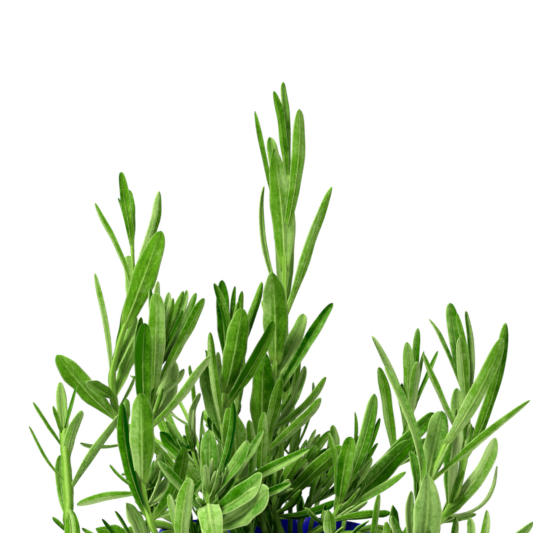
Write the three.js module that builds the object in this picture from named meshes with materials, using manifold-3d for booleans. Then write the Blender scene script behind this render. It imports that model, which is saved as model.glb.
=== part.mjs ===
// A potted munstead lavender: leafy stems that rise from a small round plastic pot.
// Millimetres, +Z up, the plant's front toward -Y. The origin is the centre of the pot's underside.
import * as THREE from 'three';
import { mergeVertices } from 'three/addons/utils/BufferGeometryUtils.js';
import Module from 'manifold-3d';

const wasm = await Module();
wasm.setup();

// Driving dimensions of the pot and of the soil in it
const RIM_DIAMETER = 90;
const POT_HEIGHT = 80;
const BASE_DIAMETER = 62;
const RIM_BAND_HEIGHT = 12;
const RIM_BAND_STEP = 1.6;
const WALL = 1.8;
const FLOOR = 2.5;
const EDGE_ROUNDING = 0.8;
const BAND_CHAMFER = 0.6;
const POT_SIDES = 32;
const DRAIN_HOLES = 6;
const DRAIN_DIAMETER = 6;
const DRAIN_RING_RADIUS = 18;
const DRAIN_SIDES = 12;
const SOIL_TOP = 68;
const SOIL_CROWN = 1.2;
const SOIL_EDGE_DROP = 1;
const SOIL_EDGE_WIDTH = 2;
const FIT_GAP = 0.3;
const CUT_PAST = 4;
const HOLE_DEPTH = 12;
const HOLE_PLAY = 0.9;
const HOLE_SIDES = 6;

// Driving dimensions of the shoots
const BLADE_THICKNESS = 0.7;
const BLADE_BASE_WIDTH = 0.36;
const BLADE_TIP_WIDTH = 0.42;
const BLADE_TIP_FULLNESS = 2.2;
const BLADE_WIDEST = 0.64;
const BLADE_FOLD = 0.1;
const FOLDED_FROM_WIDTH = 9;
const FACING = 0.55;
const ROOT_WIDTH = 0.7;
const LONG_SPAN = 18;
const COLLAR_HEIGHT = 3;
const NARROW_LEAF = 4.2;
const BROAD_LEAF = 7.4;
const SIMPLIFIED_WITHIN = 0.3;
const SQUARE = 4;

// The view that the shoots' routes were measured in: rows and columns of a square picture, seen from
// straight ahead, with the pot's rim RIM_SPAN columns wide. A depth is in millimetres behind the pot's axis.
const RIM_SPAN = 216;
const PICTURE_CENTRE = 266.5;
const EYE_DISTANCE = 788;
const EYE_HEIGHT = 189.6;
const SCALE = RIM_DIAMETER / RIM_SPAN;

// Each shoot: its foot on the soil [x, y] in millimetres, its route [column, row, depth] from the foot up,
// its half thickness below and above, and its leaves. A leaf is [row where it leaves the stem,
// tip column, tip row, tip depth, width in columns, outward bow as a share of its length, twist in degrees].
const SHOOTS = [
  { name: 'tall_centre', foot: [1, 7], radii: [1.7, 0.9],
    route: [[279, 480, 12], [286, 370, 17], [285, 300, 17], [285, 240, 17], [288, 175, 17]],
    leaves: [[368, 265, 322, 22, 12, 0.03, 0], [368, 300, 338, 26, 12, 0.05, 0],
      [315, 264, 186, 16, 8, 0.06, 0], [317, 332, 187, 14, 13.5, 0, 0],
      [306, 284, 178, 30, 22.5, 0.02, -8], [271, 274, 148, 3, 23.5, -0.07, 10],
      [230, 255, 111, 14, 7.5, 0.03, -15], [236, 299, 109, 8, 15.5, 0.07, 20],
      [192, 270, 137, 27, 13.5, 0.07, 0], [183, 283, 82, 22, 11, -0.02, 20],
      [183, 274, 91, 12, 11.5, -0.02, -10]] },
  { name: 'tall_left', foot: [-14, 4], radii: [1.7, 0.6],
    route: [[205, 532, 14], [153, 505, 18], [124, 440, 16], [112, 385, 14], [118, 348, 13],
      [129, 312, 12], [133, 280, 12], [132, 240, 12]],
    leaves: [[443, 80, 443, 4, 6, 0.06, 10], [436, 127, 399, 24, 10, 0.05, 0],
      [418, 57, 355, 2, 24, 0.04, 10], [411, 135, 376, 26, 4, 0.04, 10],
      [398, 87, 381, -6, 15.5, -0.01, 10], [398, 141, 333, 26, 16, -0.01, 15],
      [381, 95, 273, 8, 7.5, -0.03, 0], [374, 127, 299, 22, 9, 0.04, 0],
      [374, 136, 316, 16, 12.5, 0.03, 0], [327, 161, 231, 0, 25, 0.05, -15],
      [311, 128, 256, 24, 13, -0.07, 0], [292, 95, 203, 8, 7, -0.05, 10],
      [286, 159, 191, 10, 13.5, 0.03, 5], [248, 121, 172, 5, 12.5, -0.01, -20],
      [244, 129, 190, 17, 11, -0.01, 0], [250, 118, 198, 10, 4, -0.02, 0]] },
  { name: 'left_front', foot: [-11, -12], radii: [1.7, 0.8],
    route: [[218, 545, -22], [186, 530, -30], [158, 530, -34], [148, 512, -34], [142, 476, -32],
      [147, 425, -29], [155, 385, -26], [160, 350, -24], [166, 325, -23]],
    leaves: [[522, 122, 403, -30, 15, -0.08, 5], [520, 184, 447, -32, 18.5, 0.12, -10],
      [506, 173, 467, -22, 14.5, 0.09, 10], [518, 204, 478, -18, 9, 0.12, 10],
      [492, 77, 505, -18, 10, -0.03, 20], [490, 162, 452, -20, 17.5, 0.13, 10],
      [483, 141, 393, -50, 25.5, 0.05, -10], [430, 210, 356, -34, 10.5, 0.05, 10],
      [427, 145, 323, -36, 18, 0.05, 15], [421, 174, 360, -16, 20.5, 0.12, 10],
      [415, 141, 317, -20, 11, 0.05, 0], [400, 184, 369, -16, 9, 0.06, 0],
      [390, 204, 298, -26, 11.5, 0.01, -5], [391, 156, 293, -34, 18.5, -0.02, 0],
      [384, 150, 289, -16, 8.5, -0.03, 10], [380, 158, 281, -14, 9, 0, 0],
      [372, 148, 333, -28, 8, 0.05, 0], [369, 196, 293, -18, 10, 0.05, 10],
      [362, 169, 292, -18, 9, 0.04, 0], [360, 173, 298, -29, 8.5, 0, 0],
      [356, 183, 291, -21, 10, 0, -10], [352, 187, 290, -16, 7.5, 0.05, 10],
      [366, 183, 310, -32, 6, 0, 0]] },
  { name: 'centre', foot: [-5, -6], radii: [1.7, 0.6],
    route: [[246, 505, -10], [225, 445, -14], [224, 405, -14], [228, 365, -12], [232, 335, -11]],
    leaves: [[498, 249, 420, -26, 10, 0.09, 0], [471, 228, 408, -34, 26, 0.07, 0],
      [446, 204, 365, -6, 20.5, 0.06, 0], [427, 210, 332, -24, 9.5, 0.04, 20],
      [412, 218, 352, 0, 9, 0.05, 0], [409, 273, 321, -30, 15, 0.03, 15],
      [393, 242, 308, -30, 22.5, 0.08, 0], [380, 214, 283, -14, 9.5, -0.1, 20],
      [381, 262, 282, -26, 10, 0.02, 0], [366, 222, 280, 2, 15, 0.03, -10],
      [346, 235, 286, -8, 6.5, 0, -10], [346, 242, 291, -12, 7.5, 0.06, 0],
      [350, 238, 302, -20, 6, 0.02, 0]] },
  { name: 'centre_right', foot: [2, -3], radii: [1.9, 0.8],
    route: [[260, 510, -2], [263, 460, 0], [270, 415, 0], [274, 385, 0], [276, 355, 1]],
    leaves: [[486, 264, 412, -14, 12, 0.05, 0], [454, 321, 398, -8, 12, 0.02, -15],
      [453, 266, 353, -6, 28.5, 0.02, -10], [438, 281, 377, -14, 12, 0.03, 0],
      [443, 305, 366, 4, 10.5, 0.05, 10], [430, 326, 377, -2, 11.5, 0.1, 0],
      [432, 291, 393, -6, 6, -0.02, 0], [398, 333, 303, 0, 13.5, 0.01, 20],
      [381, 304, 314, 10, 15, 0.02, 10], [364, 272, 272, -12, 26, -0.07, 0],
      [362, 263, 300, 10, 12, -0.05, 0]] },
  { name: 'left_far', foot: [-20, -5], radii: [2.1, 1.3],
    route: [[205, 534, 2], [160, 521, 0], [118, 536, -3], [88, 546, -5], [69, 528, -5],
      [69, 500, -5], [66, 460, -5], [64, 428, -5]],
    leaves: [[508, 76, 559, -20, 8.5, 0.21, 0], [515, 70, 556, -16, 13, 0.15, 0],
      [519, 60, 455, 6, 11, 0.12, 0], [483, 29, 426, -10, 4, 0.07, 20],
      [493, 121, 413, -8, 11, -0.03, 5], [472, 82, 411, -12, 12.5, -0.11, 5],
      [451, 33, 402, -8, 5.5, 0.01, 10], [450, 60, 382, 4, 12, 0.03, 10],
      [441, 53, 406, -10, 5, 0.01, 0], [433, 77, 386, -4, 5, -0.01, 0]] },
  { name: 'front', foot: [-5, -17], radii: [1.5, 0.7],
    route: [[243, 550, -26], [224, 534, -37], [211, 515, -44], [208, 490, -46], [208, 475, -46]],
    leaves: [[528, 158, 461, -52, 10, 0, 10], [526, 268, 490, -62, 28, 0.17, 10],
      [504, 309, 449, -34, 12, -0.02, 10], [508, 291, 483, -50, 10, 0.05, 0],
      [513, 262, 475, -58, 23.5, 0.12, 0], [509, 207, 565, -74, 22.5, 0.34, 0],
      [505, 209, 430, -38, 18, 0.03, 0], [504, 263, 430, -40, 9, 0.04, 10],
      [500, 248, 441, -48, 12.5, 0.02, 15], [496, 233, 402, -44, 8.5, 0.08, 20],
      [494, 205, 465, -54, 8, 0.02, 0], [490, 213, 458, -50, 6, 0, 0]] },
  { name: 'front_left_low', foot: [-17, -20], radii: [1.3, 0.8],
    route: [[222, 546, -28], [204, 532, -37], [190, 543, -46], [181, 560, -52]],
    leaves: [[558, 190, 478, -60, 16, 0.1, 20], [557, 184, 503, -52, 7, 0, 0],
      [552, 169, 494, -48, 8, 0.06, 0], [550, 150, 545, -60, 10, 0.1, 0],
      [552, 215, 575, -64, 10, 0.2, 0]] },
  { name: 'left_low', foot: [-19, -14], radii: [1.3, 0.8],
    route: [[208, 540, -18], [174, 526, -22], [150, 540, -24], [134, 562, -22]],
    leaves: [[558, 126, 503, -28, 16.5, -0.05, -5], [556, 115, 511, -24, 5, -0.02, 0],
      [560, 102, 519, -20, 6, 0, 0], [560, 82, 528, -10, 7, -0.05, 0],
      [559, 96, 529, -8, 24, 0.11, -10], [550, 152, 505, -16, 9.5, 0.01, 0],
      [561, 112, 590, -30, 12, 0.2, 0]] },
  { name: 'right_centre', foot: [6, -14], radii: [1.5, 0.7],
    route: [[305, 540, -18], [328, 524, -25], [342, 500, -26], [350, 478, -26]],
    leaves: [[527, 305, 508, -34, 5, 0, 0], [527, 388, 513, -47, 11, 0.14, -5],
      [514, 329, 433, -32, 7, -0.07, 10], [514, 406, 472, -26, 8, 0.02, 15],
      [506, 351, 437, -38, 16, 0.02, 0], [508, 411, 441, -14, 20, 0.05, 20],
      [502, 434, 413, 2, 17, 0.03, 20], [500, 372, 458, -20, 13.5, 0, 0],
      [487, 375, 394, -22, 14, -0.13, 20], [484, 355, 412, -28, 5, -0.03, 0],
      [484, 380, 418, -16, 7, 0.07, 0], [479, 358, 436, -26, 7, 0, 0], [479, 364, 434, -24, 6, 0, 0]] },
  { name: 'right_inner', foot: [9, 2], radii: [1.8, 0.6],
    route: [[278, 522, 2], [276, 498, 2], [292, 480, 4], [308, 462, 6]],
    leaves: [[517, 336, 501, -5, 12, 0.07, -5], [510, 245, 470, 16, 12, 0.05, 0],
      [506, 263, 448, 12, 11, 0.04, 0], [513, 301, 490, -16, 10, 0.08, -15],
      [508, 343, 447, -6, 18.5, -0.01, -30], [495, 289, 480, -24, 11, 0.06, 0],
      [492, 302, 452, -10, 14.5, 0.07, 0], [482, 315, 482, 14, 9, 0.04, 0],
      [481, 330, 431, 4, 10, 0.02, 0], [478, 298, 446, 12, 7, 0.01, 0],
      [473, 320, 434, 12, 7, 0.03, 0], [466, 316, 446, -2, 8, 0, 0]] },
  { name: 'right_middle', foot: [16, 4], radii: [1.5, 1],
    route: [[300, 525, 8], [312, 501, 8], [326, 480, 8]],
    leaves: [[505, 348, 486, 14, 4.5, 0, 0], [506, 339, 462, 6, 11, 0.06, -10],
      [493, 324, 471, 2, 9, -0.02, 0], [484, 333, 425, 12, 14.5, -0.06, -10],
      [486, 341, 448, 2, 9, 0, 0], [484, 345, 465, 14, 6, 0.03, 0],
      [521, 301, 496, 20, 9.5, 0.04, -10]] },
  { name: 'right_back', foot: [14, 12], radii: [1.8, 1.2],
    route: [[325, 525, 20], [372, 492, 27], [403, 452, 27], [410, 415, 25], [412, 380, 24]],
    leaves: [[463, 379, 367, 20, 12.5, 0, 25], [466, 428, 439, 40, 12, 0.05, 0],
      [446, 372, 336, 16, 9.5, -0.08, 0], [436, 444, 396, 40, 8.5, 0.12, -25],
      [428, 417, 362, 12, 11.5, 0.01, 20], [420, 438, 351, 26, 5.5, -0.01, 0],
      [418, 424, 351, 30, 4.5, 0.02, 0], [416, 407, 342, 20, 12.5, 0.01, 15],
      [404, 418, 328, 30, 10, 0.02, 0]] },
  { name: 'right_mid_front', foot: [15, -17], radii: [1.9, 1.2],
    route: [[330, 540, -24], [358, 525, -29], [386, 524, -32], [408, 518, -34], [424, 494, -34],
      [436, 468, -32], [450, 434, -30]],
    leaves: [[504, 385, 366, -30, 11, -0.09, -25], [491, 440, 411, -16, 22, 0.01, 0],
      [482, 530, 400, -38, 11.5, -0.01, 15], [460, 503, 340, -38, 21.5, 0.27, 50],
      [443, 506, 323, -14, 16.5, 0.07, 25], [518, 410, 451, -26, 11.5, -0.06, 0],
      [527, 396, 505, -10, 10, 0.05, 0]] },
  { name: 'right_far', foot: [13, -4], radii: [1.9, 1.5],
    route: [[325, 533, -6], [364, 522, -8], [412, 536, -10], [439, 521, -11], [454, 500, -11],
      [462, 470, -11], [467, 430, -11], [466, 395, -11]],
    leaves: [[522, 477, 513, -4, 8, 0.03, 0], [519, 496, 438, -18, 17, -0.08, -10],
      [516, 497, 466, -28, 6, 0.27, 0], [509, 452, 441, 2, 16.5, 0, -25],
      [447, 423, 353, -18, 8, 0.01, 0], [449, 457, 388, 4, 15, 0.1, 10],
      [408, 460, 337, -24, 13, 0, 10], [399, 429, 319, -8, 6.5, -0.02, 0],
      [408, 466, 311, -6, 8, 0.16, 35], [398, 450, 303, -3, 15.5, 0.01, 0],
      [398, 457, 313, -12, 7, -0.07, 0], [508, 464, 402, -13, 12, 0.03, 0]] },
  { name: 'front_right_low', foot: [6, -23], radii: [1.4, 0.9],
    route: [[300, 545, -31], [322, 532, -40], [362, 550, -48], [404, 575, -52], [424, 570, -54]],
    leaves: [[574, 428, 474, -60, 30.5, -0.05, -35], [556, 379, 494, -54, 8.5, 0.02, 0],
      [541, 328, 508, -50, 14, 0.04, -10], [560, 386, 522, -70, 9, 0.04, 0],
      [550, 366, 520, -58, 6, 0.04, 0], [572, 394, 516, -52, 11, 0.05, 0],
      [573, 438, 519, -40, 11.5, -0.02, -15], [572, 395, 505, -52, 10, 0.05, 0],
      [572, 455, 600, -70, 14, 0.2, 0]] },
  { name: 'right_low', foot: [21, -10], radii: [1.3, 0.8],
    route: [[344, 531, -14], [366, 523, -16], [395, 538, -18], [440, 570, -20], [470, 578, -20]],
    leaves: [[577, 487, 510, -22, 9.5, -0.08, 10], [576, 470, 518, -28, 10.5, 0.08, 20],
      [574, 456, 517, -18, 8.5, 0, 0], [577, 534, 524, -14, 12, -0.04, 0],
      [577, 540, 570, -26, 11, 0.1, 0], [576, 500, 610, -30, 12, 0.2, 0]] },
  { name: 'left_inner', foot: [-8, 1], radii: [1.3, 0.6],
    route: [[232, 525, 8], [214, 495, 10], [198, 468, 8], [191, 445, 8]],
    leaves: [[482, 166, 421, 10, 9, 0.12, 0], [484, 222, 440, 16, 11, 0.05, 0],
      [504, 247, 458, 2, 12, 0.08, 0], [504, 184, 462, 2, 13, 0.07, 0],
      [464, 160, 432, 14, 20, 0.03, 0], [470, 203, 411, 10, 4, 0, 0],
      [452, 200, 393, 4, 9, -0.1, 15], [448, 194, 410, 2, 5, 0, 0], [449, 176, 446, 16, 12, 0.04, 0]] },
];

// The shoots that fill the plant's back, each grown by the same rule from draws of its own: its foot,
// the way it leans in degrees round from +X, its lean in millimetres, its height and its draws' seed.
const BACK_SHOOTS = [
  { name: 'back_1', foot: [-20, 15], heading: 131, lean: 56, height: 74, seed: 75 },
  { name: 'back_2', foot: [-9, 20], heading: 106, lean: 40, height: 74, seed: 101 },
  { name: 'back_3', foot: [1, 24], heading: 88, lean: 52, height: 73, seed: 40 },
  { name: 'back_4', foot: [10, 18], heading: 83, lean: 30, height: 86, seed: 99 },
  { name: 'back_5', foot: [-24, 22], heading: 125, lean: 60, height: 43, seed: 6 },
  { name: 'back_6', foot: [-11, 29], heading: 99, lean: 66, height: 44, seed: 76 },
  { name: 'back_7', foot: [4, 31], heading: 90, lean: 64, height: 39, seed: 45 },
  { name: 'back_8', foot: [18, 26], heading: 66, lean: 50, height: 32, seed: 59 },
  { name: 'back_9', foot: [31, 4], heading: 75, lean: 46, height: 26, seed: 87 },
  { name: 'back_10', foot: [-29, 8], heading: 133, lean: 42, height: 30, seed: 24 },
];
const BACK_RADII = [1.4, 0.6];
const BACK_PAIR_SPACING = 17;
const BACK_LEAF_LENGTH = [24, 38];
const BACK_LEAF_WIDTH = [4, 7];
const BACK_LEAF_SPREAD = [12, 28];
const BACK_BARE_LENGTH = 26;
const BACK_TURN_PLAY = 0.5;
const BACK_TOP_SHRINK = 0.35;
const BACK_BOW = [0.02, 0.1];
const BACK_TWIST = [-15, 15];
const BACK_ROUTE_SHARES = [0.25, 0.5, 0.75, 1];
const BACK_ARCH = 1.4;
const LAST_PAIR_SHARE = 0.995;
const DRAW_FACTOR = 16807;
const DRAW_RANGE = 2147483647;

// How finely a route is searched for a row, and how close corners become one
const ROUTE_STEPS = 400;
const WELD = 1e-4;

const leafGreen = new THREE.MeshStandardMaterial({ color: 0x66963f, roughness: 0.75, metalness: 0 });
const potBlue = new THREE.MeshStandardMaterial({ color: 0x080f62, roughness: 0.25, metalness: 0 });
const soilBrown = new THREE.MeshStandardMaterial({ color: 0x2e2118, roughness: 1, metalness: 0 });

// A repeatable row of draws between 0 and 1
function draws(seed) {
  let state = seed;
  return () => {
    state = (state * DRAW_FACTOR) % DRAW_RANGE;
    return state / DRAW_RANGE;
  };
}

function between([low, high], share) {
  return low + (high - low) * share;
}

// A point of the measured view, in the plant's own millimetres
function measured([column, row, depth]) {
  const scale = SCALE * (EYE_DISTANCE + depth) / EYE_DISTANCE;
  return new THREE.Vector3(
    (column - PICTURE_CENTRE) * scale,
    depth,
    EYE_HEIGHT - (row - PICTURE_CENTRE) * scale,
  );
}

// The share of a stem's route, counted from its foot, at which it last crosses a row of the view
function shareAtRow(route, row) {
  const rowAt = (share) => {
    const point = route.getPoint(share);
    const scale = SCALE * (EYE_DISTANCE + point.y) / EYE_DISTANCE;
    return PICTURE_CENTRE + (EYE_HEIGHT - point.z) / scale;
  };
  const side = Math.sign(rowAt(1) - row);
  for (let step = ROUTE_STEPS; step > 0; step -= 1) {
    if (Math.sign(rowAt(step / ROUTE_STEPS) - row) !== side) {
      return step / ROUTE_STEPS;
    }
  }
  return 0;
}

function solidOf(geometry) {
  const bare = geometry.clone();
  bare.deleteAttribute('normal');
  bare.deleteAttribute('uv');
  const merged = mergeVertices(bare, WELD);
  return new wasm.Manifold(new wasm.Mesh({
    numProp: 3,
    vertProperties: new Float32Array(merged.attributes.position.array),
    triVerts: new Uint32Array(merged.index.array),
  }));
}

function meshOf(name, solid, material) {
  const result = solid.getMesh();
  const geometry = new THREE.BufferGeometry();
  geometry.setAttribute('position', new THREE.BufferAttribute(result.vertProperties, 3));
  geometry.setIndex(new THREE.BufferAttribute(result.triVerts, 1));
  const mesh = new THREE.Mesh(geometry, material);
  mesh.name = name;
  return mesh;
}

// The shares of a route at which its stem has a ring: at each of its points, and halfway along a long span
function ringShares(route) {
  const last = route.points.length - 1;
  const shares = [0];
  for (let index = 1; index <= last; index += 1) {
    if (route.points[index].distanceTo(route.points[index - 1]) > LONG_SPAN) {
      shares.push((index - 0.5) / last);
    }
    shares.push(index / last);
  }
  return shares;
}

// A stem is a tapering square bar along its route, standing in its hole in the soil
function stemSolid(route, radii) {
  const shares = ringShares(route);
  const spans = shares.length - 1;
  const bar = new THREE.CylinderGeometry(1, 1, 1, SQUARE, spans);
  const spot = bar.attributes.position;
  const across = new THREE.Vector3(1, 0, 0);
  const rings = [];
  for (const share of shares) {
    const tangent = route.getTangent(share);
    across.addScaledVector(tangent, -across.dot(tangent)).normalize();
    const second = new THREE.Vector3().crossVectors(tangent, across);
    const radius = between(radii, share);
    rings.push({ centre: route.getPoint(share), first: across.clone(), second, radius });
  }
  for (let index = 0; index < spot.count; index += 1) {
    const ring = rings[Math.round((spot.getY(index) + 0.5) * spans)];
    const moved = ring.centre.clone();
    moved.addScaledVector(ring.first, spot.getX(index) * ring.radius);
    moved.addScaledVector(ring.second, -spot.getZ(index) * ring.radius);
    spot.setXYZ(index, moved.x, moved.y, moved.z);
  }
  return solidOf(bar);
}

// A leaf's width at a share of its length: narrow at its foot, widest past its middle, blunt at its tip
function widthShare(share) {
  if (share < BLADE_WIDEST) {
    return BLADE_BASE_WIDTH + (1 - BLADE_BASE_WIDTH) * Math.sin((Math.PI / 2) * (share / BLADE_WIDEST));
  }
  const past = (share - BLADE_WIDEST) / (1 - BLADE_WIDEST);
  return 1 - (1 - BLADE_TIP_WIDTH) * past ** BLADE_TIP_FULLNESS;
}

// The frames along a leaf: its centre line, the way across it and the way its upper face looks
function leafFrames(foot, stemTangent, leaf, rows) {
  const chord = new THREE.Vector3().subVectors(leaf.tip, foot);
  const length = chord.length();
  const along = chord.clone().divideScalar(length);
  const outward = along.clone().addScaledVector(stemTangent, -along.dot(stemTangent)).normalize();
  const bowWay = outward.clone().addScaledVector(along, -outward.dot(along)).normalize();
  const natural = new THREE.Vector3().crossVectors(along, bowWay);
  const sideways = new THREE.Vector3().crossVectors(along, new THREE.Vector3(0, 1, 0)).normalize();
  const turned = natural.dot(sideways) < 0 ? -1 : 1;
  natural.multiplyScalar((1 - leaf.facing) * turned).addScaledVector(sideways, leaf.facing).normalize();
  const frames = [];
  for (let row = 0; row <= rows; row += 1) {
    const share = row / rows;
    const centre = foot.clone().addScaledVector(chord, share);
    centre.addScaledVector(bowWay, leaf.bow * length * 4 * share * (1 - share));
    const tangent = along.clone().addScaledVector(bowWay, leaf.bow * 4 * (1 - 2 * share)).normalize();
    const across = natural.clone().addScaledVector(tangent, -natural.dot(tangent)).normalize();
    across.applyAxisAngle(tangent, THREE.MathUtils.degToRad(leaf.twist) * share);
    const up = new THREE.Vector3().crossVectors(across, tangent);
    up.multiplyScalar(up.dot(bowWay) > 0 ? -1 : 1);
    frames.push({ centre, across, up, width: leaf.width * widthShare(share) });
  }
  return frames;
}

// A blade: an upper and a lower face with the same triangles, closed round their rim
function bladeSolid(frames) {
  const rows = frames.length - 1;
  const wide = Math.max(...frames.map((frame) => frame.width)) > FOLDED_FROM_WIDTH;
  const columns = wide ? 2 : 1;
  const face = new THREE.PlaneGeometry(1, 1, columns, rows);
  const count = face.attributes.position.count;
  const places = [];
  for (const level of [0.5, -0.5]) {
    for (let index = 0; index < count; index += 1) {
      const frame = frames[Math.round((face.attributes.position.getY(index) + 0.5) * rows)];
      const aside = face.attributes.position.getX(index);
      const sunk = wide ? BLADE_FOLD * frame.width * (Math.abs(aside) * 2 - 0.5) : 0;
      const place = frame.centre.clone().addScaledVector(frame.across, aside * frame.width);
      place.addScaledVector(frame.up, sunk + level * BLADE_THICKNESS);
      places.push(place.x, place.y, place.z);
    }
  }
  const triangles = [];
  const edges = new Map();
  const corners = face.index.array;
  for (let start = 0; start < corners.length; start += 3) {
    const [a, b, c] = corners.slice(start, start + 3);
    triangles.push(a, b, c, c + count, b + count, a + count);
    for (const [from, to] of [[a, b], [b, c], [c, a]]) {
      if (!edges.delete(`${to}_${from}`)) {
        edges.set(`${from}_${to}`, [from, to]);
      }
    }
  }
  for (const [from, to] of edges.values()) {
    triangles.push(from, from + count, to, to, from + count, to + count);
  }
  const blade = new THREE.BufferGeometry();
  blade.setAttribute('position', new THREE.Float32BufferAttribute(places, 3));
  blade.setIndex(triangles);
  const first = solidOf(blade);
  if (first.volume() > 0) {
    return first;
  }
  blade.setIndex(triangles.toReversed());
  return solidOf(blade);
}

// The shoots of the measured view, with their routes and leaves in millimetres
function measuredShoots() {
  return SHOOTS.map((shoot) => {
    const [x, y] = shoot.foot;
    const foot = new THREE.Vector3(x, y, SOIL_TOP - HOLE_DEPTH + FIT_GAP);
    const collar = new THREE.Vector3(x, y, SOIL_TOP + COLLAR_HEIGHT);
    const points = [foot, collar, ...shoot.route.map(measured)];
    const route = new THREE.CatmullRomCurve3(points, false, 'catmullrom');
    const leaves = shoot.leaves.map(([row, column, tipRow, depth, width, bow, twist]) => ({
      share: shareAtRow(route, row),
      tip: measured([column, tipRow, depth]),
      width: width * SCALE,
      bow,
      twist,
      facing: FACING,
    }));
    return { name: `shoot_${shoot.name}`, foot: [x, y], route, radii: shoot.radii, leaves };
  });
}

// The shoots at the back: an arching stem with opposite pairs of leaves, each pair a quarter turn on
function backShoots() {
  return BACK_SHOOTS.map((shoot) => {
    const draw = draws(shoot.seed);
    const heading = THREE.MathUtils.degToRad(shoot.heading);
    const away = new THREE.Vector3(Math.cos(heading), Math.sin(heading), 0);
    const [x, y] = shoot.foot;
    const base = new THREE.Vector3(x, y, SOIL_TOP + COLLAR_HEIGHT);
    const foot = new THREE.Vector3(x, y, SOIL_TOP - HOLE_DEPTH + FIT_GAP);
    const points = [foot, base];
    for (const share of BACK_ROUTE_SHARES) {
      const point = base.clone().addScaledVector(away, shoot.lean * share ** BACK_ARCH);
      point.z += shoot.height * Math.sin((Math.PI / 2) * share);
      points.push(point);
    }
    const route = new THREE.CatmullRomCurve3(points, false, 'catmullrom');
    const reachLength = Math.hypot(shoot.lean, shoot.height);
    const pairs = Math.floor((reachLength - BACK_BARE_LENGTH) / BACK_PAIR_SPACING);
    const leaves = [];
    for (let pair = 0; pair <= pairs; pair += 1) {
      const up = BACK_BARE_LENGTH + pair * BACK_PAIR_SPACING;
      const above = BACK_ROUTE_SHARES.length;
      const share = (1 + above * Math.min(up / reachLength, LAST_PAIR_SHARE)) / (1 + above);
      const node = route.getPoint(share);
      const tangent = route.getTangent(share);
      const first = new THREE.Vector3().crossVectors(tangent, away).normalize();
      const turn = pair * Math.PI / 2 + draw() * BACK_TURN_PLAY;
      for (const side of [0, Math.PI]) {
        const out = first.clone().applyAxisAngle(tangent, turn + side);
        const length = between(BACK_LEAF_LENGTH, draw()) * (1 - BACK_TOP_SHRINK * (pair / pairs) ** 2);
        const spread = THREE.MathUtils.degToRad(between(BACK_LEAF_SPREAD, draw()));
        const tip = node.clone().addScaledVector(tangent, length * Math.cos(spread));
        tip.addScaledVector(out, length * Math.sin(spread));
        const width = between(BACK_LEAF_WIDTH, draw());
        const bow = between(BACK_BOW, draw());
        const twist = between(BACK_TWIST, draw());
        leaves.push({ share, tip, width, bow, twist, facing: 0 });
      }
    }
    return { name: `shoot_${shoot.name}`, foot: [x, y], route, radii: BACK_RADII, leaves };
  });
}

function bladeRows(width) {
  if (width < NARROW_LEAF) {
    return 2;
  }
  return width < BROAD_LEAF ? 3 : 4;
}

function shootSolid(shoot) {
  let solid = stemSolid(shoot.route, shoot.radii);
  for (const leaf of shoot.leaves) {
    const foot = shoot.route.getPoint(leaf.share);
    const tangent = shoot.route.getTangent(leaf.share);
    const frames = leafFrames(foot, tangent, leaf, bladeRows(leaf.width));
    frames[0].width = Math.min(frames[0].width, between(shoot.radii, leaf.share) * ROOT_WIDTH);
    solid = solid.add(bladeSolid(frames));
  }
  return solid.simplify(SIMPLIFIED_WITHIN);
}

// A turned solid that stands upright, from its outline of [radius, height] points
function turned(outline, sides = POT_SIDES) {
  const corners = outline.map(([radius, height]) => new THREE.Vector2(radius, height));
  const lathe = new THREE.LatheGeometry(corners, sides);
  lathe.rotateX(Math.PI / 2);
  return solidOf(lathe);
}

function upright(radius, bottom, top, x, y, sides) {
  const bar = new THREE.CylinderGeometry(radius, radius, top - bottom, sides);
  bar.rotateX(Math.PI / 2);
  bar.translate(x, y, (top + bottom) / 2);
  return solidOf(bar);
}

// The pot's outer radius at a height, under its rim band
function potRadius(height) {
  const bandRadius = RIM_DIAMETER / 2 - RIM_BAND_STEP;
  return between([BASE_DIAMETER / 2, bandRadius], height / POT_HEIGHT);
}

function potSolid() {
  const rim = RIM_DIAMETER / 2;
  const band = POT_HEIGHT - RIM_BAND_HEIGHT;
  const outline = [
    [0, 0],
    [potRadius(0) - EDGE_ROUNDING, 0],
    [potRadius(0), EDGE_ROUNDING],
    [potRadius(band), band],
    [rim - BAND_CHAMFER, band + BAND_CHAMFER],
    [rim, POT_HEIGHT - EDGE_ROUNDING],
    [rim - EDGE_ROUNDING, POT_HEIGHT],
    [rim - WALL, POT_HEIGHT],
    [rim - WALL - RIM_BAND_STEP, band],
    [potRadius(FLOOR) - WALL, FLOOR],
    [0, FLOOR],
  ];
  let pot = turned(outline);
  for (let hole = 0; hole < DRAIN_HOLES; hole += 1) {
    const turn = (hole / DRAIN_HOLES) * Math.PI * 2;
    const x = DRAIN_RING_RADIUS * Math.cos(turn);
    const y = DRAIN_RING_RADIUS * Math.sin(turn);
    pot = pot.subtract(upright(DRAIN_DIAMETER / 2, -CUT_PAST, FLOOR + CUT_PAST, x, y, DRAIN_SIDES));
  }
  return pot;
}

function soilSolid(shoots) {
  const bottom = FLOOR + FIT_GAP;
  const inset = WALL + 2 * FIT_GAP;
  let soil = turned([
    [0, bottom],
    [potRadius(bottom) - inset, bottom],
    [potRadius(SOIL_TOP) - inset, SOIL_TOP - SOIL_EDGE_DROP],
    [potRadius(SOIL_TOP) - inset - SOIL_EDGE_WIDTH, SOIL_TOP],
    [0, SOIL_TOP + SOIL_CROWN],
  ]);
  for (const shoot of shoots) {
    const [x, y] = shoot.foot;
    const radius = shoot.radii[0] + HOLE_PLAY;
    const over = SOIL_TOP + SOIL_CROWN + CUT_PAST;
    soil = soil.subtract(upright(radius, SOIL_TOP - HOLE_DEPTH, over, x, y, HOLE_SIDES));
  }
  return soil;
}

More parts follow.
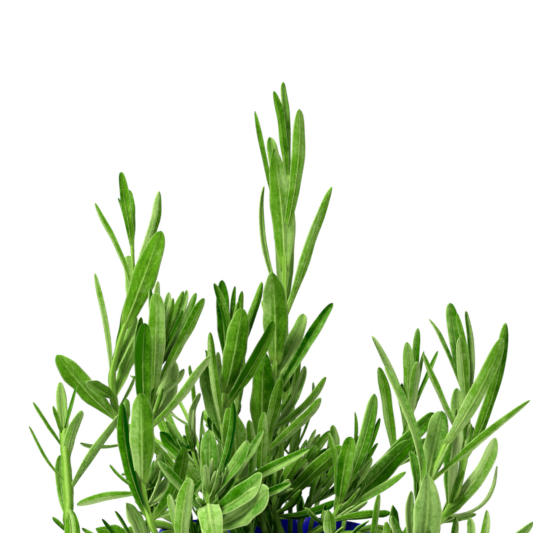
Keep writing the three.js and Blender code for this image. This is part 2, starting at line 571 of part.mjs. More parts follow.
const shoots = [...measuredShoots(), ...backShoots()];
const group = new THREE.Group();
group.add(meshOf('pot', potSolid(), potBlue));
group.add(meshOf('soil', soilSolid(shoots), soilBrown));
for (const shoot of shoots) {
  group.add(meshOf(shoot.name, shootSolid(shoot), leafGreen));
}

export default group;
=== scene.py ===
"""A potted munstead lavender: leafy square stems in a small blue plastic pot.

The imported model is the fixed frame. Every leafy stem of it is replaced by a finer one on the same foot,
with nearly the same route and leaves, and the pot and the soil get their rounded edges, crumbs and
finishes. Lengths are in millimetres and are scaled by MM, but a finish's and the studio's are in metres.
"""
import logging
import math
import random
from dataclasses import dataclass, field
from enum import Enum
from typing import Iterable, Optional, Union

import bmesh
import bpy
from mathutils import Matrix, Quaternion, Vector, noise


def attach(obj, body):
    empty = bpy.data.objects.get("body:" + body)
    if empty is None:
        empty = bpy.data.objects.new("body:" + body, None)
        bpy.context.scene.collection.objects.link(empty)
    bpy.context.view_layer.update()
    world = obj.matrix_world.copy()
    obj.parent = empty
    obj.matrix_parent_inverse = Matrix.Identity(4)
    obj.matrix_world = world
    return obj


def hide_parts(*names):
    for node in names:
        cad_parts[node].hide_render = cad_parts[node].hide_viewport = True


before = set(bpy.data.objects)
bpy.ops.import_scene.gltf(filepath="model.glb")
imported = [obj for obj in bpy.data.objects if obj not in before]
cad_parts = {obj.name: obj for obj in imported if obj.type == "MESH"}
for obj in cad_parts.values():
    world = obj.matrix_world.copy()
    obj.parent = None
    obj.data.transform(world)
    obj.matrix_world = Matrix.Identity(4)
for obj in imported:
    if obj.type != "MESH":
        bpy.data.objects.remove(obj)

LOG = logging.getLogger("lavender")
MM = 0.001
BODY = "root"
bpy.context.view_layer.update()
SOIL_TOP = 68.0
LEAF_NUMBERS = ("side", "tone", "fresh", "grey")
SEAM_GAP = 1e-6
TINY = 1e-7
TURN = 2 * math.pi
AXIS = (0.0, 0.0, 1.0)
CENTRE = (0.0, 0.0, 0.0)

# How far red, green and blue light wander inside a leaf or a stem, in millimetres
GLOW_REACH = (0.5, 1.0, 0.2)

# A least and a largest value, or a value at one end and at the other
Span = tuple[float, float]
Colour = tuple[float, float, float, float]


def kept(value: float) -> float:
    """Keeps a number between 0 and 1."""
    return min(1.0, max(0.0, value))


class Growth(Enum):
    """How a shoot has grown, as (freshness, greyness): fresh growth is bright, grey growth is pale."""

    FRESH = (0.9, 0.1)
    BRIGHT = (0.65, 0.25)
    MATURE = (0.35, 0.4)
    DOWNY = (0.35, 0.6)
    SHADED = (0.1, 0.1)
    SILVERY = (0.3, 0.9)


@dataclass(frozen=True)
class PictureView:
    """The view in which the shoots were measured: a square picture taken from straight ahead."""

    rim_diameter: float = 90.0
    rim_span: float = 216.0
    centre: float = 266.5
    eye_distance: float = 788.0
    eye_height: float = 189.6

    @property
    def scale(self) -> float:
        """Millimetres a column at the pot's axis."""
        return self.rim_diameter / self.rim_span

    def place(self, column: float, row: float, depth: float) -> Vector:
        """Finds the place of a point of the picture.

        Args:
            column: The point's column.
            row: The point's row.
            depth: How far behind the pot's axis it is, in millimetres.

        Returns:
            The point in the plant's millimetres.
        """
        scale = self.scale * (self.eye_distance + depth) / self.eye_distance
        return Vector(((column - self.centre) * scale, depth, self.eye_height - (row - self.centre) * scale))

    def row_of(self, point: Vector) -> float:
        """Finds the picture's row in which a point shows."""
        scale = self.scale * (self.eye_distance + point.y) / self.eye_distance
        return self.centre + (self.eye_height - point.z) / scale


VIEW = PictureView()


@dataclass(frozen=True)
class Crowd:
    """The shaded middle of the plant, where its leaves crowd over the soil and its leaves and stems get
    painted shade.
    """

    reach: float = 46.0
    edge: float = 16.0
    top: float = 118.0
    fading: float = 30.0

    def depth(self, place: Vector) -> float:
        """How deep in the crowd a place is, from 0 outside it to 1."""
        inside = kept((self.reach - math.hypot(place.x, place.y)) / self.edge)
        return inside * kept((self.top - place.z) / self.fading)


CROWD = Crowd()


@dataclass(frozen=True)
class MeasuredShoot:
    """A shoot measured in the picture.

    Its foot and its half thickness below and above are in millimetres. Its route is a row of (column,
    row, depth) from the soil up, and its leaves are rows of numbers that the list's comment names.
    """

    name: str
    growth: Growth
    foot: tuple[float, float]
    radii: Span
    route: tuple[tuple[float, float, float], ...]
    leaves: tuple[tuple[float, ...], ...]


@dataclass(frozen=True)
class BackShoot:
    """A shoot at the back, grown by rule from draws of its own; its lean and height are in millimetres."""

    name: str
    growth: Growth
    foot: tuple[float, float]
    heading: float
    lean: float
    height: float
    seed: int


# Each leaf: row where it leaves the stem, tip column, row and depth, width in columns, bow as a share of its
# length, twist in degrees, and its shade from -2 for the darkest to 2 for the palest, partly the leaf's own
# colour and partly painted light and shade; a ninth number tells how much lower it is widest, as a share of
# its length, and one under 0 keeps a stout leaf blunt
SHOOTS = (
    MeasuredShoot("tall_centre", Growth.BRIGHT, (1, 7), (1.7, 0.9), (
        (279, 480, 12), (286, 370, 17), (285, 300, 17), (285, 240, 17), (288, 175, 17),
    ), (
        (368, 265, 322, 22, 12, 0.03, 0, 0), (368, 300, 338, 26, 12, 0.05, 0, -1),
        (315, 264, 186, 16, 8, 0.06, 0, 2), (317, 332, 187, 14, 15, 0, 0, 0, 0.12),
        (306, 284, 178, 30, 22.5, 0.02, -8, 2), (271, 274, 148, 3, 23.5, -0.07, 10, 0, 0.2),
        (230, 255, 111, 14, 7.5, 0.03, -15, -1), (236, 299, 109, 8, 15.5, 0.07, 20, 0.5),
        (192, 270, 137, 27, 13.5, 0.07, 0, 2), (183, 283, 82, 22, 11, -0.02, 20, 1),
        (183, 274, 91, 12, 11.5, -0.02, -10, -1),
    )),
    MeasuredShoot("tall_left", Growth.FRESH, (-14, 4), (2.4, 0.7), (
        (205, 532, 14), (153, 505, 18), (124, 440, 16), (112, 385, 14), (118, 348, 13), (129, 312, 12),
        (133, 280, 12), (132, 240, 12),
    ), (
        (443, 80, 443, 4, 6, 0.06, 10, 2), (436, 127, 399, 24, 10, 0.05, 0, 2),
        (418, 57, 355, 2, 24, 0.04, 10, 0), (411, 135, 376, 26, 4, 0.04, 10, 2),
        (398, 87, 381, -6, 15.5, -0.01, 10, 0), (398, 141, 333, 26, 16, -0.01, 15, 2),
        (381, 95, 273, 8, 7.5, -0.03, 0, 1), (374, 127, 299, 22, 9, 0.04, 0, -1),
        (374, 136, 316, 16, 12.5, 0.03, 0, 2), (327, 161, 231, 0, 25, 0.05, -15, 0, 0.08),
        (311, 128, 256, 24, 13, -0.07, 0, 2), (292, 95, 203, 8, 7, -0.05, 10, 1),
        (286, 159, 191, 10, 13.5, 0.03, 5, 1), (248, 121, 172, 5, 12.5, -0.01, -20, -1),
        (244, 129, 190, 17, 11, -0.01, 0, 2), (250, 118, 198, 10, 4, -0.02, 0, -1),
    )),
    MeasuredShoot("left_front", Growth.DOWNY, (-11, -12), (1.7, 0.8), (
        (216, 552, -22), (184, 535, -30), (160, 539, -34), (148, 512, -34), (142, 476, -32), (147, 425, -29),
        (155, 385, -26), (160, 350, -24), (166, 325, -23),
    ), (
        (522, 122, 403, -30, 15, -0.08, 5, -2), (520, 184, 447, -32, 18.5, 0.12, -10, -1),
        (506, 173, 467, -22, 14.5, 0.09, 10, 2), (518, 204, 478, -18, 9, 0.12, 10, 1),
        (492, 77, 505, -18, 10, -0.03, 20, 0), (490, 162, 452, -20, 17.5, 0.13, 10, 0),
        (483, 141, 393, -50, 25.5, 0.05, -10, 0), (430, 210, 356, -34, 10.5, 0.05, 10, 1),
        (427, 145, 323, -36, 18, 0.05, 15, -2), (421, 174, 360, -16, 20.5, 0.12, 10, 2),
        (415, 141, 317, -20, 11, 0.05, 0, -1), (400, 184, 369, -16, 9, 0.06, 0, 2),
        (390, 204, 298, -26, 11.5, 0.01, -5, 0), (391, 156, 293, -34, 18.5, -0.02, 0, 0),
        (384, 150, 289, -16, 8.5, -0.03, 10, 0), (380, 158, 281, -14, 9, 0, 0, 2),
        (372, 148, 333, -28, 8, 0.05, 0, 0), (369, 196, 293, -18, 10, 0.05, 10, 0),
        (362, 169, 292, -18, 9, 0.04, 0, 1), (360, 173, 298, -29, 8.5, 0, 0, 0),
        (356, 183, 291, -21, 10, 0, -10, 0), (352, 187, 290, -16, 7.5, 0.05, 10, 1),
        (366, 183, 310, -32, 6, 0, 0, -2),
    )),
    MeasuredShoot("centre", Growth.MATURE, (-5, -6), (1.7, 0.6), (
        (246, 505, -10), (225, 445, -14), (224, 405, -14), (228, 365, -12), (232, 335, -11),
    ), (
        (498, 249, 420, -26, 10, 0.09, 0, 0), (471, 228, 408, -34, 26, 0.07, 0, 0),
        (446, 204, 365, -6, 20.5, 0.06, 0, 0), (427, 210, 332, -24, 9.5, 0.04, 20, 0),
        (412, 218, 352, 0, 9, 0.05, 0, 2), (409, 273, 321, -30, 15, 0.03, 15, -2),
        (393, 242, 308, -30, 22.5, 0.08, 0, -1), (380, 214, 283, -14, 9.5, -0.1, 20, -2),
        (381, 262, 282, -26, 10, 0.02, 0, -1), (366, 222, 280, 2, 15, 0.03, -10, -1),
        (346, 235, 286, -8, 6.5, 0, -10, 0), (346, 242, 291, -12, 7.5, 0.06, 0, -1),
        (350, 238, 302, -20, 6, 0.02, 0, 0),
    )),
    MeasuredShoot("centre_right", Growth.MATURE, (2, -3), (1.9, 0.8), (
        (260, 510, -2), (263, 460, 0), (270, 415, 0), (274, 385, 0), (276, 355, 1),
    ), (
        (486, 264, 412, -14, 12, 0.05, 0, 0), (454, 321, 398, -8, 12, 0.02, -15, 0.5),
        (453, 266, 353, -6, 28.5, 0.02, -10, -1), (438, 281, 377, -14, 12, 0.03, 0, 0),
        (443, 305, 366, 4, 10.5, 0.05, 10, 2), (430, 326, 377, -2, 11.5, 0.1, 0, 0),
        (432, 291, 393, -6, 6, -0.02, 0, -1), (398, 333, 303, 0, 13.5, 0.01, 20, -1),
        (381, 304, 314, 10, 15, 0.02, 10, 1), (364, 272, 272, -12, 26, -0.07, 0, -0.5),
        (362, 263, 300, 10, 12, -0.05, 0, 0),
    )),
    MeasuredShoot("left_far", Growth.BRIGHT, (-20, -5), (1.7, 1.9), (
        (205, 545, 2), (158, 524, 0), (118, 536, -3), (88, 546, -5), (69, 528, -5), (69, 500, -5),
        (66, 460, -5), (64, 428, -5),
    ), (
        (508, 76, 559, -20, 8.5, 0.21, 0, 0), (515, 70, 556, -16, 13, 0.15, 0, 0),
        (519, 60, 455, 6, 11, 0.12, 0, 1), (483, 29, 426, -10, 4, 0.07, 20, 0),
        (493, 121, 413, -8, 11, -0.03, 5, 1), (472, 82, 411, -12, 12.5, -0.11, 5, 1),
        (451, 33, 402, -8, 5.5, 0.01, 10, 0), (450, 60, 382, 4, 12, 0.03, 10, 2),
        (441, 53, 406, -10, 5, 0.01, 0, -1), (433, 77, 386, -4, 5, -0.01, 0, 0),
    )),
    MeasuredShoot("front", Growth.DOWNY, (-5, -17), (1.5, 0.7), (
        (243, 550, -26), (224, 534, -37), (211, 515, -44), (208, 490, -46), (208, 475, -46),
    ), (
        (528, 158, 461, -52, 10, 0, 10, 0), (526, 268, 490, -62, 28, 0.06, -5, 1, -0.03),
        (504, 309, 449, -34, 12, -0.02, 10, 1), (508, 291, 483, -50, 10, 0.05, 0, -1),
        (513, 262, 475, -58, 23.5, 0.05, -8, 0, -0.03), (509, 218, 565, -74, 22.5, 0.34, 0, 0.5),
        (505, 209, 430, -38, 18, 0.03, 0, 0), (504, 263, 430, -40, 9, 0.04, 10, 0),
        (500, 248, 441, -48, 12.5, 0.02, 15, 1), (496, 233, 402, -44, 8.5, 0.08, 20, -1),
        (494, 205, 465, -54, 8, 0.02, 0, 1), (490, 213, 458, -50, 6, 0, 0, 2),
    )),
    MeasuredShoot("front_left_low", Growth.DOWNY, (-17, -20), (1.3, 0.8), (
        (222, 552, -28), (203, 538.5, -37), (190, 547, -46), (181, 560, -52),
    ), (
        (558, 190, 478, -60, 16, 0.1, 20, 1), (557, 184, 503, -52, 7, 0, 0, 0),
        (552, 169, 494, -48, 8, 0.06, 0, 1), (550, 150, 545, -60, 10, 0.1, 0, 0),
        (552, 215, 575, -64, 10, 0.2, 0, 0),
    )),
    MeasuredShoot("left_low", Growth.DOWNY, (-19, -14), (1.3, 0.8), (
        (208, 546, -18), (170, 532.5, -22), (150, 543, -24), (134, 562, -22),
    ), (
        (548, 126, 503, -28, 16.5, -0.05, -5, 2), (556, 115, 511, -24, 5, -0.02, 0, -1),
        (560, 102, 519, -20, 6, 0, 0, -2), (560, 82, 528, -10, 7, -0.05, 0, 0),
        (559, 96, 529, -8, 24, 0.11, -10, -2), (550, 152, 505, -16, 9.5, 0.01, 0, 1),
        (561, 112, 590, -30, 12, 0.2, 0, 0),
    )),
    MeasuredShoot("right_centre", Growth.BRIGHT, (6, -14), (1.5, 0.7), (
        (305, 540, -18), (328, 524, -25), (342, 500, -26), (350, 478, -26),
    ), (
        (527, 305, 508, -34, 5, 0, 0, 1), (521, 390, 513, -40, 12, -0.02, -5, -2),
        (514, 329, 433, -32, 7, -0.07, 10, 0), (514, 406, 472, -26, 8, 0.02, 15, 1),
        (506, 351, 437, -38, 16, 0.02, 0, -1), (508, 411, 441, -14, 20, 0.05, 20, -0.5),
        (502, 434, 413, 2, 17, 0.03, 20, 0), (500, 372, 458, -20, 13.5, 0, 0, 2),
        (487, 375, 394, -22, 14, -0.13, 20, 0), (484, 355, 412, -28, 5, -0.03, 0, -2),
        (484, 380, 418, -16, 7, 0.07, 0, -2), (479, 358, 436, -26, 7, 0, 0, 1),
        (479, 364, 434, -24, 6, 0, 0, 0),
    )),
    MeasuredShoot("right_inner", Growth.SHADED, (9, 2), (1.8, 0.6), (
        (278, 522, 2), (276, 498, 2), (292, 480, 4), (308, 462, 6),
    ), (
        (517, 336, 501, -5, 12, 0.07, -5, 0), (510, 245, 470, 16, 12, 0.05, 0, 0),
        (506, 263, 448, 12, 11, 0.04, 0, 1), (513, 301, 490, -16, 10, 0.08, -15, 0),
        (508, 343, 447, -6, 18.5, -0.01, -30, 0), (495, 289, 480, -24, 11, 0.06, 0, 2),
        (492, 302, 452, -10, 14.5, 0.07, 0, 0), (482, 315, 482, 14, 9, 0.04, 0, 0),
        (481, 330, 431, 4, 10, 0.02, 0, 0), (478, 298, 446, 12, 7, 0.01, 0, 2),
        (473, 320, 434, 12, 7, 0.03, 0, 2), (466, 316, 446, -2, 8, 0, 0, 0),
    )),
    MeasuredShoot("right_middle", Growth.MATURE, (16, 4), (1.5, 1), (
        (300, 525, 8), (312, 501, 8), (326, 480, 8),
    ), (
        (505, 348, 486, 14, 4.5, 0, 0, 2), (506, 339, 462, 6, 11, 0.06, -10, 2),
        (493, 324, 471, 2, 9, -0.02, 0, 1), (484, 333, 425, 12, 14.5, -0.06, -10, 2),
        (486, 341, 448, 2, 9, 0, 0, 1), (484, 345, 465, 14, 6, 0.03, 0, 0),
        (521, 301, 496, 20, 9.5, 0.04, -10, 2),
    )),
    MeasuredShoot("right_back", Growth.BRIGHT, (14, 12), (1.8, 1.2), (
        (325, 525, 20), (372, 492, 27), (403, 452, 27), (410, 415, 25), (412, 380, 24),
    ), (
        (463, 379, 367, 20, 12.5, 0, 25, 0), (466, 428, 439, 40, 12, 0.05, 0, 1),
        (446, 372, 336, 16, 9.5, -0.08, 0, 1), (436, 431, 417, 40, 8.5, 0.12, -25, 0),
        (428, 417, 362, 12, 11.5, 0.01, 20, 1), (420, 438, 351, 26, 5.5, -0.01, 0, 0),
        (418, 424, 351, 30, 4.5, 0.02, 0, 2), (416, 407, 342, 20, 12.5, 0.01, 15, 0),
        (404, 418, 328, 30, 10, 0.02, 0, 0),
    )),
    MeasuredShoot("right_mid_front", Growth.DOWNY, (15, -17), (1.6, 1.2), (
        (330, 540, -24), (352, 534, -30), (373, 540, -32), (395, 543, -33), (412, 530, -34), (424, 500, -34),
        (436, 468, -32), (450, 434, -30),
    ), (
        (504, 385, 366, -30, 11, -0.09, -25, 1), (503, 442, 411, -16, 22, 0.01, 0, 1),
        (482, 530, 400, -38, 11.5, -0.01, 15, 0), (446, 502, 338, -38, 18, 0.09, 20, 0),
        (518, 410, 451, -26, 11.5, -0.06, 0, 0), (541.5, 393, 505, -36, 13, 0.03, 0, 0),
    )),
    MeasuredShoot("right_far", Growth.DOWNY, (13, -4), (1.6, 1.5), (
        (336, 546, -6), (371, 528, -8), (412, 536, -10), (439, 521, -11), (454, 500, -11), (462, 470, -11),
        (467, 430, -11), (466, 395, -11),
    ), (
        (522, 476, 514, -4, 7.5, 0.03, 0, 2), (519, 496, 438, -18, 17, -0.08, -10, 1),
        (516, 497, 466, -12, 6, 0.25, 0, 2), (509, 452, 441, 2, 16.5, 0, -25, 0),
        (447, 423, 353, -18, 8, 0.01, 0, 1), (449, 457, 388, 4, 15, 0.1, 10, 2),
        (408, 460, 337, -24, 13, 0, 10, 0), (399, 429, 319, -8, 6.5, -0.02, 0, 1),
        (408, 466, 311, -6, 8, 0.16, 35, 1), (398, 450, 303, -3, 15.5, 0.01, 0, 0),
        (398, 457, 313, -12, 7, -0.07, 0, 0), (508, 464, 402, -13, 12, 0.03, 0, 2),
        (462, 506, 323, -14, 16.5, 0.055, 5, -1),
    )),
    MeasuredShoot("front_right_low", Growth.SILVERY, (6, -23), (1.4, 0.9), (
        (300, 551, -31), (320, 539, -40), (362, 552, -48), (404, 575, -52), (424, 570, -54),
    ), (
        (574, 426.5, 474, -60, 30.5, -0.05, -35, 1), (556, 379, 494, -54, 8.5, 0.02, 0, 0),
        (541, 328, 510, -50, 14, 0, -10, 0), (560, 386, 522, -70, 9, 0.04, 0, 0),
        (545, 369, 521, -58, 5, 0.04, 0, -2), (572, 392, 516, -62, 12, 0.05, 0, 0),
        (573, 438, 519, -40, 11.5, -0.02, -15, 0), (572, 411, 491, -50, 12, 0.05, 0, 2),
        (572, 455, 600, -70, 14, 0.2, 0, 0),
    )),
    MeasuredShoot("right_low", Growth.DOWNY, (21, -10), (1.3, 0.8), (
        (344, 541, -14), (370, 529.5, -16), (395, 541, -18), (440, 570, -20), (470, 578, -20),
    ), (
        (577, 487, 510, -22, 9.5, -0.08, 10, 1), (576, 470, 518, -28, 10.5, 0.08, 20, 1),
        (574, 456, 517, -18, 8.5, 0, 0, 0), (577, 533, 522, -14, 15, -0.04, 0, 1),
        (577, 540, 570, -26, 11, 0.1, 0, 0), (576, 500, 610, -30, 12, 0.2, 0, 0),
    )),
    MeasuredShoot("left_inner", Growth.MATURE, (-8, 1), (1.3, 0.6), (
        (232, 525, 8), (214, 495, 10), (198, 468, 8), (191, 445, 8),
    ), (
        (482, 166, 421, 10, 9, 0.12, 0, 0), (484, 222, 440, 16, 11, 0.05, 0, 1),
        (504, 247, 458, 2, 12, 0.08, 0, 2), (504, 184, 462, 2, 13, 0.07, 0, 1),
        (464, 160, 432, 14, 20, 0.03, 0, -1), (470, 203, 411, 10, 4, 0, 0, 1),
        (452, 200, 393, 4, 9, -0.1, 15, 2), (448, 194, 410, 2, 5, 0, 0, 2),
        (449, 176, 446, 16, 12, 0.04, 0, -2),
    )),
)

BACK_SHOOTS = (
    BackShoot("back_1", Growth.MATURE, (-20, 15), 131, 56, 74, 75),
    BackShoot("back_2", Growth.SHADED, (-9, 20), 106, 40, 74, 101),
    BackShoot("back_3", Growth.MATURE, (1, 24), 88, 52, 73, 40),
    BackShoot("back_4", Growth.BRIGHT, (10, 18), 83, 30, 86, 99),
    BackShoot("back_5", Growth.MATURE, (-24, 22), 125, 60, 43, 6),
    BackShoot("back_6", Growth.BRIGHT, (-11, 29), 99, 66, 44, 76),
    BackShoot("back_7", Growth.MATURE, (4, 31), 90, 64, 39, 45),
    BackShoot("back_8", Growth.SHADED, (18, 26), 66, 50, 32, 59),
    BackShoot("back_9", Growth.MATURE, (31, 4), 75, 46, 26, 87),
    BackShoot("back_10", Growth.BRIGHT, (-29, 8), 133, 42, 30, 24),
)


class Draws:
    """A repeatable row of draws between 0 and 1, the same row as the part's source has."""

    FACTOR = 16807
    MODULUS = 2147483647

    def __init__(self, seed: int) -> None:
        """Starts the row at a seed."""
        self.state = seed

    def __call__(self) -> float:
        """Returns the next draw."""
        self.state = (self.state * self.FACTOR) % self.MODULUS
        return self.state / self.MODULUS

    def between(self, low: float, high: float) -> float:
        """Returns the next draw, spread from low to high."""
        return low + (high - low) * self()


class Route:
    """A smooth path through points, which it passes at even shares."""

    TENSION = 0.5
    STEP = 0.0001

    def __init__(self, points: Iterable[Vector]) -> None:
        """Keeps the points and adds one past each end.

        Args:
            points: The points that the path passes, from the foot up.
        """
        inner = [Vector(point) for point in points]
        self.last = len(inner) - 1
        self.points = [inner[0] * 2 - inner[1], *inner, inner[-1] * 2 - inner[-2]]

    def point(self, share: float) -> Vector:
        """Finds a point of the route.

        Args:
            share: How far along it is, from 0 to 1.

        Returns:
            The point.
        """
        place = kept(share) * self.last
        index = min(int(place), self.last - 1)
        weight = place - index
        before, start, end, after = self.points[index:index + 4]
        first = (end - before) * self.TENSION
        second = (after - start) * self.TENSION
        square = (end - start) * 3 - first * 2 - second
        cube = (start - end) * 2 + first + second
        return start + first * weight + square * weight ** 2 + cube * weight ** 3

    def tangent(self, share: float) -> Vector:
        """Returns the direction of the route at a share."""
        ahead = self.point(min(share + self.STEP, 1.0))
        return (ahead - self.point(max(share - self.STEP, 0.0))).normalized()

    def share_at_row(self, row: float, steps: int = 400) -> float:
        """Finds where the route crosses a row of the picture.

        Args:
            row: The picture's row.
            steps: How many steps the route is searched in.

        Returns:
            The last share, counted from the foot, at which it crosses the row, or 0.
        """
        def side(share: float) -> bool:
            """Tells whether the route is under the row at a share."""
            return VIEW.row_of(self.point(share)) > row

        at_top = side(1.0)
        for step in range(steps, 0, -1):
            if side(step / steps) != at_top:
                return step / steps
        return 0.0


@dataclass(frozen=True)
class LeafPlan:
    """A leaf's place on its stem and its form."""

    share: float
    tip: Vector
    width: float
    bow: float
    twist: float
    facing: float
    shade: float = 0.0
    low: float = 0.0


@dataclass(frozen=True)
class ShootPlan:
    """A shoot's stem and leaves, in millimetres."""

    name: str
    growth: Growth
    route: Route
    radii: Span
    leaves: list[LeafPlan]

    @property
    def node(self) -> str:
        """The name of the shoot's node in the frame."""
        return f"shoot_{self.name}"

    def radius(self, share: float) -> float:
        """The stem's half thickness at a share of its route."""
        return self.radii[0] + (self.radii[1] - self.radii[0]) * share


@dataclass(frozen=True)
class Bed:
    """Where the shoots stand in the soil, and how those at the back grow."""

    soil_top: float = SOIL_TOP
    hole_depth: float = 12.0
    fit_gap: float = 0.3
    collar_height: float = 3.0
    facing: float = 0.55
    back_radii: Span = (1.4, 0.6)
    back_pair_spacing: float = 17.0
    back_leaf_length: Span = (24.0, 38.0)
    back_leaf_width: Span = (4.0, 7.0)
    back_leaf_spread: Span = (12.0, 28.0)
    back_bare_length: float = 26.0
    back_turn_play: float = 0.5
    back_top_shrink: float = 0.35
    back_bow: Span = (0.02, 0.1)
    back_twist: Span = (-15.0, 15.0)
    back_arch: float = 1.4
    back_route_shares: tuple[float, ...] = (0.25, 0.5, 0.75, 1.0)
    last_pair_share: float = 0.995

    def measured(self, shoot: MeasuredShoot) -> ShootPlan:
        """Places a measured shoot.

        Args:
            shoot: The shoot as measured.

        Returns:
            Its plan in millimetres.
        """
        foot, collar = self.stand(shoot.foot)
        route = Route([foot, collar, *(VIEW.place(*point) for point in shoot.route)])
        leaves = [
            LeafPlan(route.share_at_row(row), VIEW.place(column, tip_row, depth),
                     width * VIEW.scale, bow, twist, self.facing, shade, *low)
            for row, column, tip_row, depth, width, bow, twist, shade, *low in shoot.leaves
        ]
        return ShootPlan(shoot.name, shoot.growth, route, shoot.radii, leaves)

    def stand(self, foot: tuple[float, float]) -> tuple[Vector, Vector]:
        """Returns a stem's foot in its hole and its collar over the soil."""
        base = Vector((foot[0], foot[1], self.soil_top - self.hole_depth + self.fit_gap))
        return base, Vector((foot[0], foot[1], self.soil_top + self.collar_height))

    def grown(self, shoot: BackShoot) -> ShootPlan:
        """Grows a shoot at the back: an arching stem with opposite pairs of leaves.

        Args:
            shoot: The shoot's foot, direction and size.

        Returns:
            Its plan in millimetres.
        """
        draw = Draws(shoot.seed)
        heading = math.radians(shoot.heading)
        away = Vector((math.cos(heading), math.sin(heading), 0.0))
        foot, base = self.stand(shoot.foot)
        above = [
            base + away * shoot.lean * share ** self.back_arch
            + Vector((0.0, 0.0, shoot.height * math.sin(math.pi / 2 * share)))
            for share in self.back_route_shares
        ]
        route = Route([foot, base, *above])
        reach = math.hypot(shoot.lean, shoot.height)
        pairs = math.floor((reach - self.back_bare_length) / self.back_pair_spacing)
        spans = len(self.back_route_shares)
        leaves: list[LeafPlan] = []
        for pair in range(pairs + 1):
            up = self.back_bare_length + pair * self.back_pair_spacing
            share = (1 + spans * min(up / reach, self.last_pair_share)) / (1 + spans)
            tangent = route.tangent(share)
            first = tangent.cross(away).normalized()
            turn = pair * math.pi / 2 + draw() * self.back_turn_play
            for side in (0.0, math.pi):
                out = Quaternion(tangent, turn + side) @ first
                shrink = 1 - self.back_top_shrink * (pair / pairs) ** 2
                length = draw.between(*self.back_leaf_length) * shrink
                spread = math.radians(draw.between(*self.back_leaf_spread))
                tip = route.point(share) + tangent * length * math.cos(spread)
                tip += out * length * math.sin(spread)
                width = draw.between(*self.back_leaf_width)
                bow = draw.between(*self.back_bow)
                leaves.append(LeafPlan(share, tip, width, bow, draw.between(*self.back_twist), 0.0))
        return ShootPlan(shoot.name, shoot.growth, route, self.back_radii, leaves)

    def plans(self) -> list[ShootPlan]:
        """Returns every shoot of the plant."""
        return [*map(self.measured, SHOOTS), *map(self.grown, BACK_SHOOTS)]


@dataclass(frozen=True)
class Grain:
    """Noise: its features for each metre, its octaves and how strong the finer octaves are."""

    scale: float
    detail: float = 3.0
    rough: float = 0.55


Input = Union["Signal", bpy.types.NodeSocket, float, tuple]


class Signal:
    """A number that changes over a surface; sums and products of it add their Math nodes."""

    def __init__(self, board: "Board", socket: bpy.types.NodeSocket) -> None:
        """Wraps an output socket of a board's node."""
        self.board = board
        self.socket = socket

    def _math(self, operation: str, *values: Input, clamp: bool = False) -> "Signal":
        """Adds a Math node.

        Args:
            operation: What it does.
            values: What it does it to.
            clamp: Whether its result is kept between 0 and 1.

        Returns:
            Its result.
        """
        settings = {"operation": operation, "use_clamp": clamp}
        node = self.board.node("ShaderNodeMath", settings, dict(enumerate(values)))
        return Signal(self.board, node.outputs[0])

    def __add__(self, other: Input) -> "Signal":
        """Adds a value."""
        return self._math("ADD", self, other)

    def __sub__(self, other: Input) -> "Signal":
        """Takes a value away."""
        return self._math("SUBTRACT", self, other)

    def __rsub__(self, other: Input) -> "Signal":
        """Takes this from a value."""
        return self._math("SUBTRACT", other, self)

    def __mul__(self, other: Input) -> "Signal":
        """Multiplies by a value."""
        return self._math("MULTIPLY", self, other)

    def __truediv__(self, other: Input) -> "Signal":
        """Divides by a value."""
        return self._math("DIVIDE", self, other)

    __radd__ = __add__
    __rmul__ = __mul__

    def size(self) -> "Signal":
        """Drops the sign."""
        return self._math("ABSOLUTE", self)

    def wave(self) -> "Signal":
        """Takes the sine."""
        return self._math("SINE", self)

    def kept(self) -> "Signal":
        """Keeps the number between 0 and 1."""
        return self._math("ADD", self, 0.0, clamp=True)

    def ramp(self, start: float, slope: float) -> "Signal":
        """Rises from 0 at a start with a slope, and stays between 0 and 1."""
        return ((self - start) * slope).kept()

    def spread(self, low: float, high: float) -> "Signal":
        """Goes from low to high while the number goes from 0 to 1."""
        return self * (high - low) + low

    def around_middle(self, span: float) -> "Signal":
        """Turns noise from 0 to 1 into noise around 0 with a span."""
        return (self - 0.5) * span


